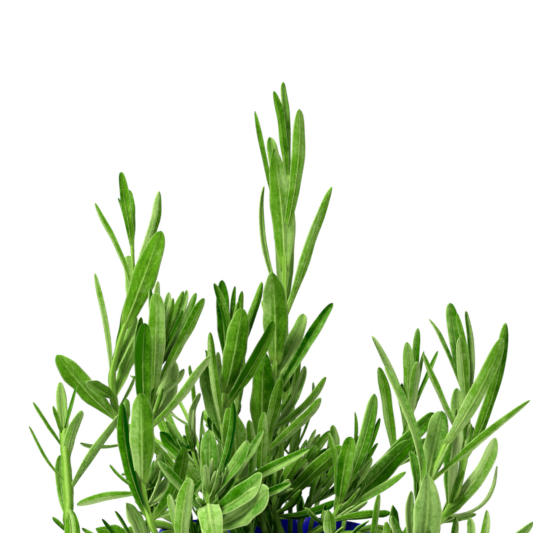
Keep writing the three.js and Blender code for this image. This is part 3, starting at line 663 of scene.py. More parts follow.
class Board:
    """A material's node board, with a Principled shader that leads to its output."""

    def __init__(self, name: str) -> None:
        """Starts a material with an empty board.

        Args:
            name: The material's name.
        """
        self.material = bpy.data.materials.new(name)
        self.material.use_nodes = True
        self.tree = self.material.node_tree
        self.tree.nodes.clear()
        self.shader = self.node("ShaderNodeBsdfPrincipled", {}, {})
        self.node("ShaderNodeOutputMaterial", {}, {"Surface": self.shader.outputs[0]})

    def node(self, kind: str, settings: dict, inputs: dict) -> bpy.types.Node:
        """Adds a node.

        Args:
            kind: The node's type.
            settings: Its own settings, such as a Math node's operation, which are set first.
            inputs: Values or links of its input sockets, by name or number.

        Returns:
            The node.
        """
        node = self.tree.nodes.new(kind)
        for key, value in settings.items():
            setattr(node, key, value)
        for key, value in inputs.items():
            self.feed(node.inputs[key], value)
        return node

    def feed(self, socket: bpy.types.NodeSocket, value: Input) -> None:
        """Links a socket or sets its value.

        Args:
            socket: The input socket.
            value: A signal or an output socket to link it to, or its value.
        """
        if isinstance(value, Signal):
            self.tree.links.new(value.socket, socket)
        elif isinstance(value, bpy.types.NodeSocket):
            self.tree.links.new(value, socket)
        else:
            socket.default_value = value

    def uv(self) -> tuple[Signal, Signal]:
        """Reads the piece's own UV map.

        Returns:
            Its U and its V.
        """
        place = self.node("ShaderNodeUVMap", {"uv_map": "UVMap"}, {})
        parts = self.node("ShaderNodeSeparateXYZ", {}, {0: place.outputs[0]})
        return Signal(self, parts.outputs[0]), Signal(self, parts.outputs[1])

    def attribute(self, name: str) -> Signal:
        """Returns a number that the mesh holds for each of its points."""
        return Signal(self, self.node("ShaderNodeAttribute", {"attribute_name": name}, {}).outputs["Fac"])

    def object_place(self) -> bpy.types.NodeSocket:
        """Returns the place in the object, in metres."""
        return self.node("ShaderNodeTexCoord", {}, {}).outputs["Object"]

    def grain(self, grain: Grain, place: Optional[Input] = None) -> Signal:
        """Adds noise.

        Args:
            grain: What the noise is like.
            place: Its coordinates, or None for the place in the object.

        Returns:
            The noise, from 0 to 1.
        """
        where = self.object_place() if place is None else place
        inputs = {"Vector": where, "Scale": grain.scale, "Detail": grain.detail, "Roughness": grain.rough}
        return Signal(self, self.node("ShaderNodeTexNoise", {"noise_dimensions": "3D"}, inputs).outputs[0])

    def mix(self, factor: Input, first: Input, second: Input) -> bpy.types.NodeSocket:
        """Mixes two colours and returns the mixed one."""
        settings = {"data_type": "RGBA", "blend_type": "MIX", "clamp_factor": True}
        return self.node("ShaderNodeMix", settings, {0: factor, 6: first, 7: second}).outputs[2]

    def bump(self, height: Signal, depth: float, strength: float = 1.0) -> None:
        """Raises the surface by a height times a depth in metres."""
        inputs = {"Height": height, "Distance": depth, "Strength": strength}
        self.feed(self.shader.inputs["Normal"], self.node("ShaderNodeBump", {}, inputs).outputs[0])

    def shade(self, **values: Input) -> None:
        """Sets or links the shader's own sockets, named with _ for a space."""
        for name, value in values.items():
            self.feed(self.shader.inputs[name.replace("_", " ").title().replace("Ior", "IOR")], value)


def paint(red: int, green: int, blue: int) -> Colour:
    """Turns a colour as a screen shows it into the shader's linear colour.

    Args:
        red: The colour's red, 0 to 255.
        green: Its green.
        blue: Its blue.

    Returns:
        The linear colour, opaque.
    """
    def linear(part: int) -> float:
        """Turns one part of the colour into linear light."""
        share = part / 255
        return share / 12.92 if share <= 0.04045 else ((share + 0.055) / 1.055) ** 2.4

    return linear(red), linear(green), linear(blue), 1.0


@dataclass(frozen=True)
class LeafFinish:
    """A downy leaf: matt green above, paler below, with a midrib, faint side veins and a pale margin, partly
    a painted highlight.
    """

    above: tuple[Colour, ...] = (paint(0, 56, 0), paint(52, 116, 0), paint(150, 192, 90))
    below: tuple[Colour, ...] = (paint(34, 90, 0), paint(98, 152, 32), paint(190, 212, 140))
    fresh: Colour = paint(92, 164, 0)
    grey: Colour = paint(148, 172, 108)
    rib_colour: Colour = paint(170, 206, 104)
    # Painted shade: dark green painted into the midrib's groove and as shadows beside the rib
    crease_shadow: Colour = paint(40, 78, 8)
    # The pale rolled margin, partly its own colour and partly a painted highlight
    margin_and_highlight: Colour = paint(176, 206, 122)
    foot_colour: Colour = paint(164, 208, 84)
    rib_width: float = 0.15
    rib_taper: float = 0.09
    rib_edge: float = 1.7
    rib_by_side: Span = (0.7, 1.0)
    rib_by_length: Span = (1.1, 0.3)
    rib_by_light: Span = (0.4, 1.0)
    vein_pairs: float = 9.0
    vein_slant: float = 2.0
    vein_sharpness: float = 1.6
    vein_by_side: Span = (0.16, 0.32)
    # Painted shade in the groove along the upper midrib, and painted shadow lines beside the rib
    groove_shadow_width: float = 0.3
    groove_shadow_share: float = 0.3
    rib_shadow_place: float = 1.5
    rib_shadow_share: float = 0.6
    rib_shadow_by_length: Span = (1.0, 0.5)
    margin_start: float = 0.84
    margin_slope: float = 8.0
    margin_by_light: Span = (0.15, 0.9)
    foot_slope: float = 6.0
    foot_share: float = 0.6
    patches: Grain = Grain(170.0)
    patch_span: float = 0.7
    mottle: Grain = Grain(900.0, 4.0)
    mottle_span: float = 0.55
    down: Grain = Grain(2600.0, 2.0)
    light_gain: float = 1.2
    side_share: float = 0.85
    fresh_share: float = 0.45
    grey_share: float = 0.8
    grey_start: float = 0.35
    grey_slope: float = 1.5
    rib_relief: float = 1.2
    vein_relief: float = 0.5
    down_relief: float = 0.35
    relief_by_side: Span = (-0.5, 1.1)
    relief_depth: float = 0.00025
    relief_strength: float = 0.9
    roughness: float = 0.55
    roughness_span: float = 0.16
    glow: float = 0.08

    def make(self) -> bpy.types.Material:
        """Makes the material.

        Returns:
            The material.
        """
        board = Board("lavender_leaf")
        across, along = board.uv()
        edge = (across - 0.5).size() * 2
        side = board.attribute("side")
        mottle = board.grain(self.mottle)
        patches = board.grain(self.patches)
        rib = ((1 - edge / (self.rib_width - self.rib_taper * along)) * self.rib_edge).kept()
        slant = (along * self.vein_pairs - edge * self.vein_slant) * TURN
        veins = (slant.wave() - 0.5).kept() * (1 - edge) * self.vein_sharpness
        # Painted shade: masks for the dark groove along the upper midrib and the shadow lines beside the rib
        groove = (1 - edge / self.groove_shadow_width).kept()
        rib_shadow = (1 - (edge - self.rib_width * self.rib_shadow_place).size() / self.rib_width).kept()
        margin = edge.ramp(self.margin_start, self.margin_slope)
        foot = (1 - along * self.foot_slope).kept()
        tone = board.attribute("tone") + patches.around_middle(self.patch_span)
        shade = (tone + mottle.around_middle(self.mottle_span)).kept()
        light = (shade * self.light_gain).kept()
        bloom = shade.ramp(self.grey_start, self.grey_slope)
        coats = (
            (side * self.side_share, self.by_shade(board, shade, self.below)),
            (board.attribute("fresh") * light * self.fresh_share, self.fresh),
            (board.attribute("grey") * bloom * self.grey_share, self.grey),
            # Painted shade: the groove on the upper face, and shadows beside the rib
            (groove * (1 - side) * self.groove_shadow_share, self.crease_shadow),
            (rib_shadow * along.spread(*self.rib_shadow_by_length) * self.rib_shadow_share, self.crease_shadow),
            (rib * side.spread(*self.rib_by_side) * along.spread(*self.rib_by_length)
             * light.spread(*self.rib_by_light), self.rib_colour),
            (veins * side.spread(*self.vein_by_side) * light, self.rib_colour),
            # The pale margin, partly the leaf's own colour and partly a painted highlight
            (margin * light.spread(*self.margin_by_light), self.margin_and_highlight),
            (foot * self.foot_share, self.foot_colour),
        )
        green = self.by_shade(board, shade, self.above)
        for mask, colour in coats:
            green = board.mix(mask, green, colour)
        relief = (rib * self.rib_relief + veins * self.vein_relief) * side.spread(*self.relief_by_side)
        relief += board.grain(self.down) * self.down_relief
        relief += mottle * self.down_relief
        board.bump(relief, self.relief_depth, self.relief_strength)
        board.shade(base_color=green, roughness=mottle.around_middle(self.roughness_span) + self.roughness,
                    specular_ior_level=0.0, subsurface_weight=self.glow, subsurface_radius=GLOW_REACH,
                    subsurface_scale=MM)
        return board.material

    @staticmethod
    def by_shade(board: Board, shade: Signal, colours: tuple[Colour, ...]) -> bpy.types.NodeSocket:
        """Picks a colour by a shade.

        Args:
            board: The material's board.
            shade: The shade, from 0 to 1.
            colours: A dark, a middle and a pale colour.

        Returns:
            The colour's socket.
        """
        dark, middle, pale = colours
        lower = board.mix(shade.ramp(0.0, 2.0), dark, middle)
        return board.mix(shade.ramp(0.5, 2.0), lower, pale)


@dataclass(frozen=True)
class StemFinish:
    """A square green stem with pale downy corners, browner and corky near the soil, with painted shade in the
    crowded middle.
    """

    green: Colour = paint(174, 210, 104)
    shadow: Colour = paint(106, 158, 40)
    # Dark green of old stems low down, also painted on stems in the crowded middle as painted shade
    old: Colour = paint(48, 86, 10)
    bark: Colour = paint(78, 72, 40)
    corners: int = 4
    corner_share: float = 0.55
    streaks: Grain = Grain(700.0)
    streak_span: float = 0.5
    old_gain: float = 1.9
    old_start: float = 0.35
    bark_start: float = 0.62
    bark_slope: float = 3.0
    bark_span: float = 1.4
    down: Grain = Grain(2400.0, 2.0)
    corner_relief: float = 0.4
    streak_relief: float = 0.3
    down_relief: float = 0.2
    relief_depth: float = 0.00018
    relief_strength: float = 0.7
    roughness: Span = (0.6, 0.85)
    gloss: float = 0.04
    glow: float = 0.06

    def make(self) -> bpy.types.Material:
        """Makes the material.

        Returns:
            The material.
        """
        board = Board("lavender_stem")
        around, _ = board.uv()
        corner = (around * (self.corners * TURN)).wave().spread(0.5, 1.0)
        streak = board.grain(self.streaks)
        # How old the stem is near the soil, raised on stems in the crowded middle as painted shade
        age = board.attribute("age")
        pale = corner * self.corner_share + streak.around_middle(self.streak_span)
        barky = (age - self.bark_start) * self.bark_slope + streak.around_middle(self.bark_span)
        skin = board.mix(pale, self.shadow, self.green)
        skin = board.mix((age * self.old_gain - self.old_start).kept(), skin, self.old)
        skin = board.mix(barky.kept(), skin, self.bark)
        relief = corner * self.corner_relief + streak * (self.streak_relief + age)
        relief += board.grain(self.down) * self.down_relief
        board.bump(relief, self.relief_depth, self.relief_strength)
        board.shade(base_color=skin, roughness=age.spread(*self.roughness), specular_ior_level=self.gloss,
                    subsurface_weight=self.glow, subsurface_radius=GLOW_REACH, subsurface_scale=MM)
        return board.material


@dataclass(frozen=True)
class PotPlastic:
    """Glossy dark blue moulded plastic with fine handling scratches and a little dust low down."""

    blue: Colour = paint(2, 5, 220)
    deep: Colour = paint(2, 4, 176)
    dust: Colour = paint(50, 56, 150)
    flow: Grain = Grain(28.0, 2.0)
    specks: Grain = Grain(420.0, 4.0, 0.7)
    speck_start: float = 0.62
    speck_slope: float = 3.0
    speck_share: float = 0.12
    dust_height: float = 0.012
    dust_slope: float = 60.0
    dust_share: float = 0.35
    scratches: Grain = Grain(90.0, 5.0, 0.75)
    scratch_stretch: tuple[float, float, float] = (1.0, 1.0, 14.0)
    scratch_span: float = 0.12
    scratch_relief: float = 0.12
    flow_relief: float = 0.5
    relief_depth: float = 0.0003
    relief_strength: float = 0.5
    roughness: float = 0.16
    dust_roughness: float = 0.5
    gloss: float = 0.12
    coat: float = 0.03
    coat_roughness: float = 0.1

    def make(self) -> bpy.types.Material:
        """Makes the material.

        Returns:
            The material.
        """
        board = Board("pot_blue_plastic")
        flow = board.grain(self.flow)
        specks = board.grain(self.specks)
        place = board.object_place()
        height = Signal(board, board.node("ShaderNodeSeparateXYZ", {}, {0: place}).outputs[2])
        stretch = {"Vector": place, "Scale": self.scratch_stretch}
        stretched = board.node("ShaderNodeMapping", {}, stretch).outputs[0]
        scratches = board.grain(self.scratches, stretched)
        settled = ((self.dust_height - height) * self.dust_slope).kept() * self.dust_share
        settled += specks.ramp(self.speck_start, self.speck_slope) * self.speck_share
        colour = board.mix(settled, board.mix(flow, self.deep, self.blue), self.dust)
        relief = flow * self.flow_relief + scratches * self.scratch_relief
        board.bump(relief, self.relief_depth, self.relief_strength)
        rough = settled * self.dust_roughness + self.roughness + scratches.around_middle(self.scratch_span)
        board.shade(base_color=colour, roughness=rough, specular_ior_level=self.gloss,
                    coat_weight=self.coat, coat_roughness=self.coat_roughness)
        return board.material


@dataclass(frozen=True)
class SoilFinish:
    """Moist potting mix, or the crumbs and chips that lie on it."""

    name: str = "potting_soil"
    dark: Colour = paint(32, 24, 18)
    light: Colour = paint(86, 64, 44)
    rough: float = 0.95
    pits: float = 0.0012
    clods: Grain = Grain(260.0, 6.0, 0.65)
    clod_start: float = 0.4
    clod_slope: float = 2.2
    fibres: Grain = Grain(1500.0, 4.0, 0.7)
    fibre_relief: float = 0.4
    relief_strength: float = 0.9
    moisture: float = 0.2

    def make(self) -> bpy.types.Material:
        """Makes the material.

        Returns:
            The material.
        """
        board = Board(self.name)
        clods = board.grain(self.clods)
        fibres = board.grain(self.fibres)
        light = ((clods - self.clod_start) * self.clod_slope + (fibres - 0.5)).kept()
        colour = board.mix(light, self.dark, self.light)
        board.bump(clods + fibres * self.fibre_relief, self.pits, self.relief_strength)
        board.shade(base_color=colour, roughness=self.rough - (clods - 0.5).kept() * self.moisture)
        return board.material


@dataclass(frozen=True)
class FloorFinish:
    """The plain pale floor of the studio."""

    colour: Colour = (0.86, 0.86, 0.85, 1.0)
    haze_colour: Colour = (0.8, 0.8, 0.8, 1.0)
    haze: Grain = Grain(9.0, 2.0)
    haze_share: float = 0.1
    roughness: float = 0.7

    def make(self) -> bpy.types.Material:
        """Makes the material.

        Returns:
            The material.
        """
        board = Board("studio_floor")
        haze = board.grain(self.haze) * self.haze_share
        board.shade(base_color=board.mix(haze, self.colour, self.haze_colour), roughness=self.roughness)
        return board.material


def new_mesh(name: str, bm: bmesh.types.BMesh) -> bpy.types.Mesh:
    """Turns a bmesh into a mesh.

    Args:
        name: The mesh's name.
        bm: The mesh data, which is freed.

    Returns:
        The mesh.
    """
    mesh = bpy.data.meshes.new(name)
    bm.to_mesh(mesh)
    bm.free()
    return mesh


def add_object(name: str, data: bpy.types.ID) -> bpy.types.Object:
    """Adds an object to the scene.

    Args:
        name: The object's name.
        data: Its mesh, camera or light.

    Returns:
        The object.
    """
    item = bpy.data.objects.new(name, data)
    bpy.context.scene.collection.objects.link(item)
    return item


def turned(outline: Iterable[tuple[float, float]], steps: int) -> bmesh.types.BMesh:
    """Turns an outline into a body round the upright axis.

    Args:
        outline: Its radii and heights in millimetres, from one end on the axis to the other.
        steps: How many steps the turn has.

    Returns:
        The body's mesh data, closed along its seam.
    """
    bm = bmesh.new()
    points = [bm.verts.new((radius * MM, 0.0, height * MM)) for radius, height in outline]
    edges = [bm.edges.new(pair) for pair in zip(points, points[1:])]
    bmesh.ops.spin(bm, geom=[*points, *edges], cent=CENTRE, axis=AXIS, angle=TURN, steps=steps,
                   use_merge=True, use_duplicate=False)
    bmesh.ops.remove_doubles(bm, verts=bm.verts, dist=SEAM_GAP)
    return bm


def leaf_bmesh() -> bmesh.types.BMesh:
    """Starts mesh data for leaves.

    Returns:
        Empty mesh data with the numbers and the UV map that every leaf has.
    """
    bm = bmesh.new()
    for name in LEAF_NUMBERS:
        bm.verts.layers.float.new(name)
    bm.loops.layers.uv.new("UVMap")
    return bm


def smooth_object(name: str, bm: bmesh.types.BMesh, material: bpy.types.Material) -> bpy.types.Object:
    """Turns a finished bmesh into an object at the origin.

    Args:
        name: The object's name.
        bm: The mesh data, which is freed.
        material: Its finish.

    Returns:
        The object, linked to the scene.
    """
    mesh = new_mesh(name, bm)
    mesh.polygons.foreach_set("use_smooth", [True] * len(mesh.polygons))
    mesh.materials.append(material)
    return add_object(name, mesh)


def settle(piece: bpy.types.Object, slot: str, *nodes: str) -> None:
    """Makes a piece ride on the plant and stand for its nodes.

    Args:
        piece: The piece.
        slot: Its record slot, which is not used.
        nodes: The nodes of the frame that it stands for.
    """
    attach(piece, BODY)
    if nodes:
        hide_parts(*nodes)
    LOG.info("%s: %d faces", piece.name, len(piece.data.polygons))


@dataclass
class Blade:
    """The form of a lavender leaf, bent into place from one blank.

    A share runs from a leaf's foot to its tip, or from its midrib out to its edge. Folds are in radians,
    and shades run from 0 to 1.
    """

    columns: int = 6
    rows: int = 16
    row_crowding: float = 1.5
    base_width: float = 0.36
    widest: float = 0.62
    widest_play: float = 0.1
    tip_width: float = 0.06
    tip_fullness: float = 2.6
    tip_rounding: float = 0.45
    point_fullness: float = 0.8
    point_rounding: float = 0.25
    point_shift: float = 0.1
    point_by_low: float = 4.0
    thickness: float = 0.42
    rim_thinning: float = 0.3
    groove: float = 0.05
    groove_spread: float = 0.16
    groove_fading: float = 0.6
    groove_broadest: float = 5.0
    keel: float = 0.24
    ripple: float = 0.05
    ripple_rise: float = 1.5
    scallop: float = 0.05
    scallop_rate: float = 1.5
    beats: Span = (1.2, 2.4)
    half_lag: float = 0.7
    rolled_margin: float = 0.05
    roll_start: float = 0.7
    roll_width: float = 0.3
    fold_narrow: float = 0.52
    fold_broad: float = 0.3
    fold_play: float = 0.14
    fold_fading: float = 0.35
    narrow: float = 2.5
    broad: float = 9.0
    tip_curl: float = 0.05
    stout: float = 4.5
    stout_range: float = 1.5
    middle_shade: float = 0.5
    shade_step: float = 0.22
    shade_play: float = 0.08
    # Painted light: how much lighter one half of a folded leaf is painted and how much darker the other
    painted_half_light: float = 0.28
    half_turns: float = 5.0
    half_evening: float = 0.4
    half_edge: float = 3.0
    end_shade: float = 0.28
    end_turns: float = 3.0
    # Painted shade: how much darker leaves deep in the crowded middle are painted
    painted_crowd_shade: float = 0.42
    fresh_play: Span = (-0.2, 0.2)
    grey_play: Span = (-0.15, 0.2)
    blank_gap: float = 0.1
    blank: Optional[bpy.types.Mesh] = None

    def make_blank(self) -> None:
        """Makes the blank: an upper and a lower grid, closed round their rim."""
        bm = leaf_bmesh()
        chart = bm.loops.layers.uv["UVMap"]
        side = bm.verts.layers.float["side"]
        bmesh.ops.create_grid(bm, x_segments=self.columns, y_segments=self.rows, size=1.0)
        upper = [*bm.verts, *bm.edges, *bm.faces]
        rim = [edge for edge in bm.edges if edge.is_boundary]
        copy = bmesh.ops.duplicate(bm, geom=upper)["geom"]
        under = [item for item in copy if isinstance(item, bmesh.types.BMVert)]
        bmesh.ops.translate(bm, verts=under, vec=(0.0, 0.0, -self.blank_gap))
        faces = [item for item in copy if isinstance(item, bmesh.types.BMFace)]
        bmesh.ops.reverse_faces(bm, faces=faces)
        rim += [item for item in copy if isinstance(item, bmesh.types.BMEdge) and item.is_boundary]
        bmesh.ops.bridge_loops(bm, edges=rim)
        for vert in under:
            vert[side] = 1.0
        for face in bm.faces:
            for loop in face.loops:
                loop[chart].uv = (loop.vert.co.x / 2 + 0.5, self.share_of(loop.vert.co.y))
        bmesh.ops.recalc_face_normals(bm, faces=bm.faces)
        self.blank = new_mesh("leaf_blank", bm)

    def share_of(self, y: float) -> float:
        """The share of a leaf's length of a row of the blank; rows lie closer near the tip."""
        return 1 - (0.5 - y / 2) ** self.row_crowding

    def width_share(self, share: float, widest: float, point: float) -> float:
        """Finds how wide a leaf is at a share of its length.

        Args:
            share: The share of its length.
            widest: The share at which it is widest.
            point: How pointed it is, from 0 to 1.

        Returns:
            Its width there as a share of its whole width.
        """
        if share < widest:
            return self.base_width + (1 - self.base_width) * math.sin(math.pi / 2 * share / widest)
        past = (share - widest) / (1 - widest)
        fullness = self.tip_fullness - self.point_fullness * point
        rounding = self.tip_rounding + self.point_rounding * point
        return max(self.tip_width, (1 - past ** fullness) ** rounding)

    def add(self, bm: bmesh.types.BMesh, shoot: ShootPlan, leaf: LeafPlan, draw: random.Random) -> None:
        """Adds a leaf to a mesh.

        Args:
            bm: The mesh of a shoot's leaves.
            shoot: The shoot that it grows on.
            leaf: Its plan.
            draw: The shoot's draws, for its ripples and tone.
        """
        before = len(bm.verts)
        bm.from_mesh(self.blank)
        bm.verts.ensure_lookup_table()
        side, tone, fresh, grey = (bm.verts.layers.float[name] for name in LEAF_NUMBERS)
        # A leaf's listed shade, partly its own colour and partly painted light and shade
        shade = self.middle_shade + self.shade_step * leaf.shade
        shade += draw.uniform(-self.shade_play, self.shade_play)
        freshness, greyness = shoot.growth.value
        freshness = kept(freshness + draw.uniform(*self.fresh_play))
        greyness = kept(greyness + draw.uniform(*self.grey_play))
        phase, beats = draw.uniform(0, TURN), draw.uniform(*self.beats)
        breadth = kept((leaf.width - self.narrow) / (self.broad - self.narrow))
        fold = self.fold_narrow + (self.fold_broad - self.fold_narrow) * breadth
        fold += draw.uniform(-self.fold_play, self.fold_play)
        # Painted light: one half of the fold is painted lighter and the other darker, less so on broad leaves
        painted_halves = self.painted_half_light * (1 - self.half_evening * breadth) * math.sin(phase * self.half_turns)
        ends = self.end_shade * math.cos(phase * self.end_turns)
        frames = self.frames(shoot, leaf, draw)
        for vert in bm.verts[before:]:
            share, centre, across, up, width = frames[round((vert.co.y + 1) / 2 * self.rows)]
            column = vert.co.x
            out = abs(column)
            hand = 1.0 if column > 0 else -1.0
            wave = math.sin(beats * TURN * share + phase + hand * self.half_lag)
            scallop = math.sin(beats * self.scallop_rate * TURN * share + phase * hand)
            reach = width / 2 * (1 + self.scallop * scallop)
            lift = (out - 0.5) * width / 2 * math.sin(fold) * (1 - self.fold_fading * share)
            lift += self.ripple * leaf.width * out ** self.ripple_rise * wave
            lift -= self.rolled_margin * width * max(0.0, (out - self.roll_start) / self.roll_width) ** 2
            groove = math.exp(-(column / self.groove_spread) ** 2) * (1 - self.groove_fading * share)
            thickness = self.thickness * (1 - self.rim_thinning * out)
            if vert[side] > 0.5:
                lift -= thickness / 2 + self.keel * groove
            else:
                lift += thickness / 2 - self.groove * min(width, self.groove_broadest) * groove
            place = centre + across * (column * reach * math.cos(fold)) + up * lift
            vert.co = place * MM
            # Painted shade: the deeper in the crowded middle, the darker the leaf is painted
            crowd_shadow_paint = self.painted_crowd_shade * CROWD.depth(centre)
            uneven = shade + painted_halves * hand * min(1.0, out * self.half_edge) + ends * (share - 0.5)
            vert[tone] = uneven - crowd_shadow_paint
            vert[fresh] = freshness
            vert[grey] = greyness

    def frames(self, shoot: ShootPlan, leaf: LeafPlan, draw: random.Random) -> list[tuple]:
        """Works out a leaf's frame at each row of the blank.

        Args:
            shoot: The shoot that it grows on.
            leaf: Its plan.
            draw: The shoot's draws, for the share at which it is widest and the curl of its tip.

        Returns:
            For each row its share, centre, way across, way up and width.
        """
        foot = shoot.route.point(leaf.share)
        stem = shoot.route.tangent(leaf.share)
        chord = leaf.tip - foot
        length = chord.length
        along = chord / length
        outward = (along - stem * along.dot(stem)).normalized()
        bow_way = (outward - along * outward.dot(along)).normalized()
        natural = along.cross(bow_way)
        sideways = along.cross(Vector((0.0, 1.0, 0.0))).normalized()
        sense = -1.0 if natural.dot(sideways) < 0 else 1.0
        natural = (natural * (1 - leaf.facing) * sense + sideways * leaf.facing).normalized()
        flip = -1.0 if natural.cross(along).dot(bow_way) > 0 else 1.0
        widest = self.widest + draw.uniform(-self.widest_play, self.widest_play)
        curl = draw.uniform(-self.tip_curl, self.tip_curl) * length
        stoutness = 0.0 if leaf.low < 0 else (self.stout - length / leaf.width) / self.stout_range
        lowness = self.point_by_low * leaf.low
        point = min(1.0, max(lowness, stoutness))
        widest -= self.point_shift * kept(point - lowness) + leaf.low
        frames = []
        # The bow is a parabola with its crown half way, and the curl is strongest near the tip
        for row in range(self.rows + 1):
            share = self.share_of(row / self.rows * 2 - 1)
            bend = leaf.bow * length * 4 * share * (1 - share)
            centre = foot + chord * share + bow_way * (bend + curl * share ** 3 * (1 - share) * 4)
            tangent = (along + bow_way * (leaf.bow * 4 * (1 - 2 * share))).normalized()
            across = (natural - tangent * natural.dot(tangent)).normalized()
            across = (Quaternion(tangent, math.radians(leaf.twist) * share) @ across) * flip
            frames.append((share, centre, across, across.cross(tangent),
                           leaf.width * self.width_share(share, widest, point)))
        return frames


@dataclass
class Tufts:
    """The small leaves that crowd in the axils of the lower leaves."""

    blade: Blade = field(default_factory=lambda: Blade(columns=4, rows=7, fold_broad=0.35, ripple=0.03))
    chance: float = 0.75
    top: float = 130.0
    leaves: tuple[int, int] = (2, 4)
    length: Span = (8.0, 19.0)
    width: Span = (1.9, 3.6)
    lean: float = 0.62
    spread: float = 0.5
    bow: Span = (0.03, 0.1)
    twist: Span = (-15.0, 15.0)
    facing: float = 0.3
    shades: Span = (-1.2, 0.8)
    low_axils: int = 4
    low_length: Span = (7.0, 14.0)
    low_lean: float = 0.5
    low_rise: Span = (-0.2, 0.4)
    # Painted shade: the small leaves low in the plant are painted dark
    low_painted_shades: Span = (-2.0, -0.4)
    low_steps: int = 200
    low_clearance: float = 3.0
    soil_top: float = SOIL_TOP
    front_row: float = -11.0
    open_side: float = 6.0
    bare_side: float = -19.5

    def grow(self, plan: ShootPlan, draw: random.Random) -> list[LeafPlan]:
        """Grows the small leaves of a shoot.

        Args:
            plan: The shoot.
            draw: The shoot's draws.

        Returns:
            The plans of its small leaves.
        """
        small: list[LeafPlan] = []
        bare = plan.growth is Growth.FRESH or plan.route.point(0).x < self.bare_side
        for leaf in plan.leaves:
            foot = plan.route.point(leaf.share)
            if bare or foot.z > self.top or draw.random() > self.chance:
                continue
            stem = plan.route.tangent(leaf.share)
            chord = (leaf.tip - foot).normalized()
            side = chord.cross(stem).normalized()
            for _ in range(draw.randint(*self.leaves)):
                way = (stem * (1 - self.lean * draw.random()) + chord * self.lean
                       + side * draw.uniform(-self.spread, self.spread)).normalized()
                tip = foot + way * draw.uniform(*self.length)
                small.append(self.small_leaf(leaf.share, tip, self.shades, draw))
        foot = plan.route.point(0)
        crowded = foot.y > self.front_row and foot.x < self.open_side
        return small + (self.grow_low(plan, draw) if crowded else [])

    def grow_low(self, plan: ShootPlan, draw: random.Random) -> list[LeafPlan]:
        """Grows the small leaves of a shoot's lowest stem, where it has no larger ones, painted dark as
        painted shade.

        Args:
            plan: The shoot.
            draw: The shoot's draws.

        Returns:
            The plans of these leaves.
        """
        small: list[LeafPlan] = []
        lowest = self.soil_top + self.low_clearance
        steps = (step / self.low_steps for step in range(self.low_steps))
        start = next(share for share in steps if plan.route.point(share).z > lowest)
        span = max(min(leaf.share for leaf in plan.leaves), start) - start
        for axil in range(self.low_axils):
            share = start + span * (axil + 0.5) / self.low_axils
            foot, stem = plan.route.point(share), plan.route.tangent(share)
            for _ in range(draw.randint(*self.leaves)):
                aside = Vector((draw.uniform(-1, 1), draw.uniform(-1, 1), draw.uniform(*self.low_rise)))
                way = (stem + aside.normalized() * self.low_lean).normalized()
                tip = foot + way * draw.uniform(*self.low_length)
                small.append(self.small_leaf(share, tip, self.low_painted_shades, draw))
        return small

    def small_leaf(self, share: float, tip: Vector, shades: Span,
                   draw: random.Random) -> LeafPlan:
        """Plans a small leaf.

        Args:
            share: Where on the stem it grows.
            tip: Where its tip is.
            shades: Its darkest and palest shade.
            draw: The shoot's draws.

        Returns:
            Its plan.
        """
        width, bow, twist = (draw.uniform(*play) for play in (self.width, self.bow, self.twist))
        return LeafPlan(share, tip, width, bow, twist, self.facing, draw.uniform(*shades))


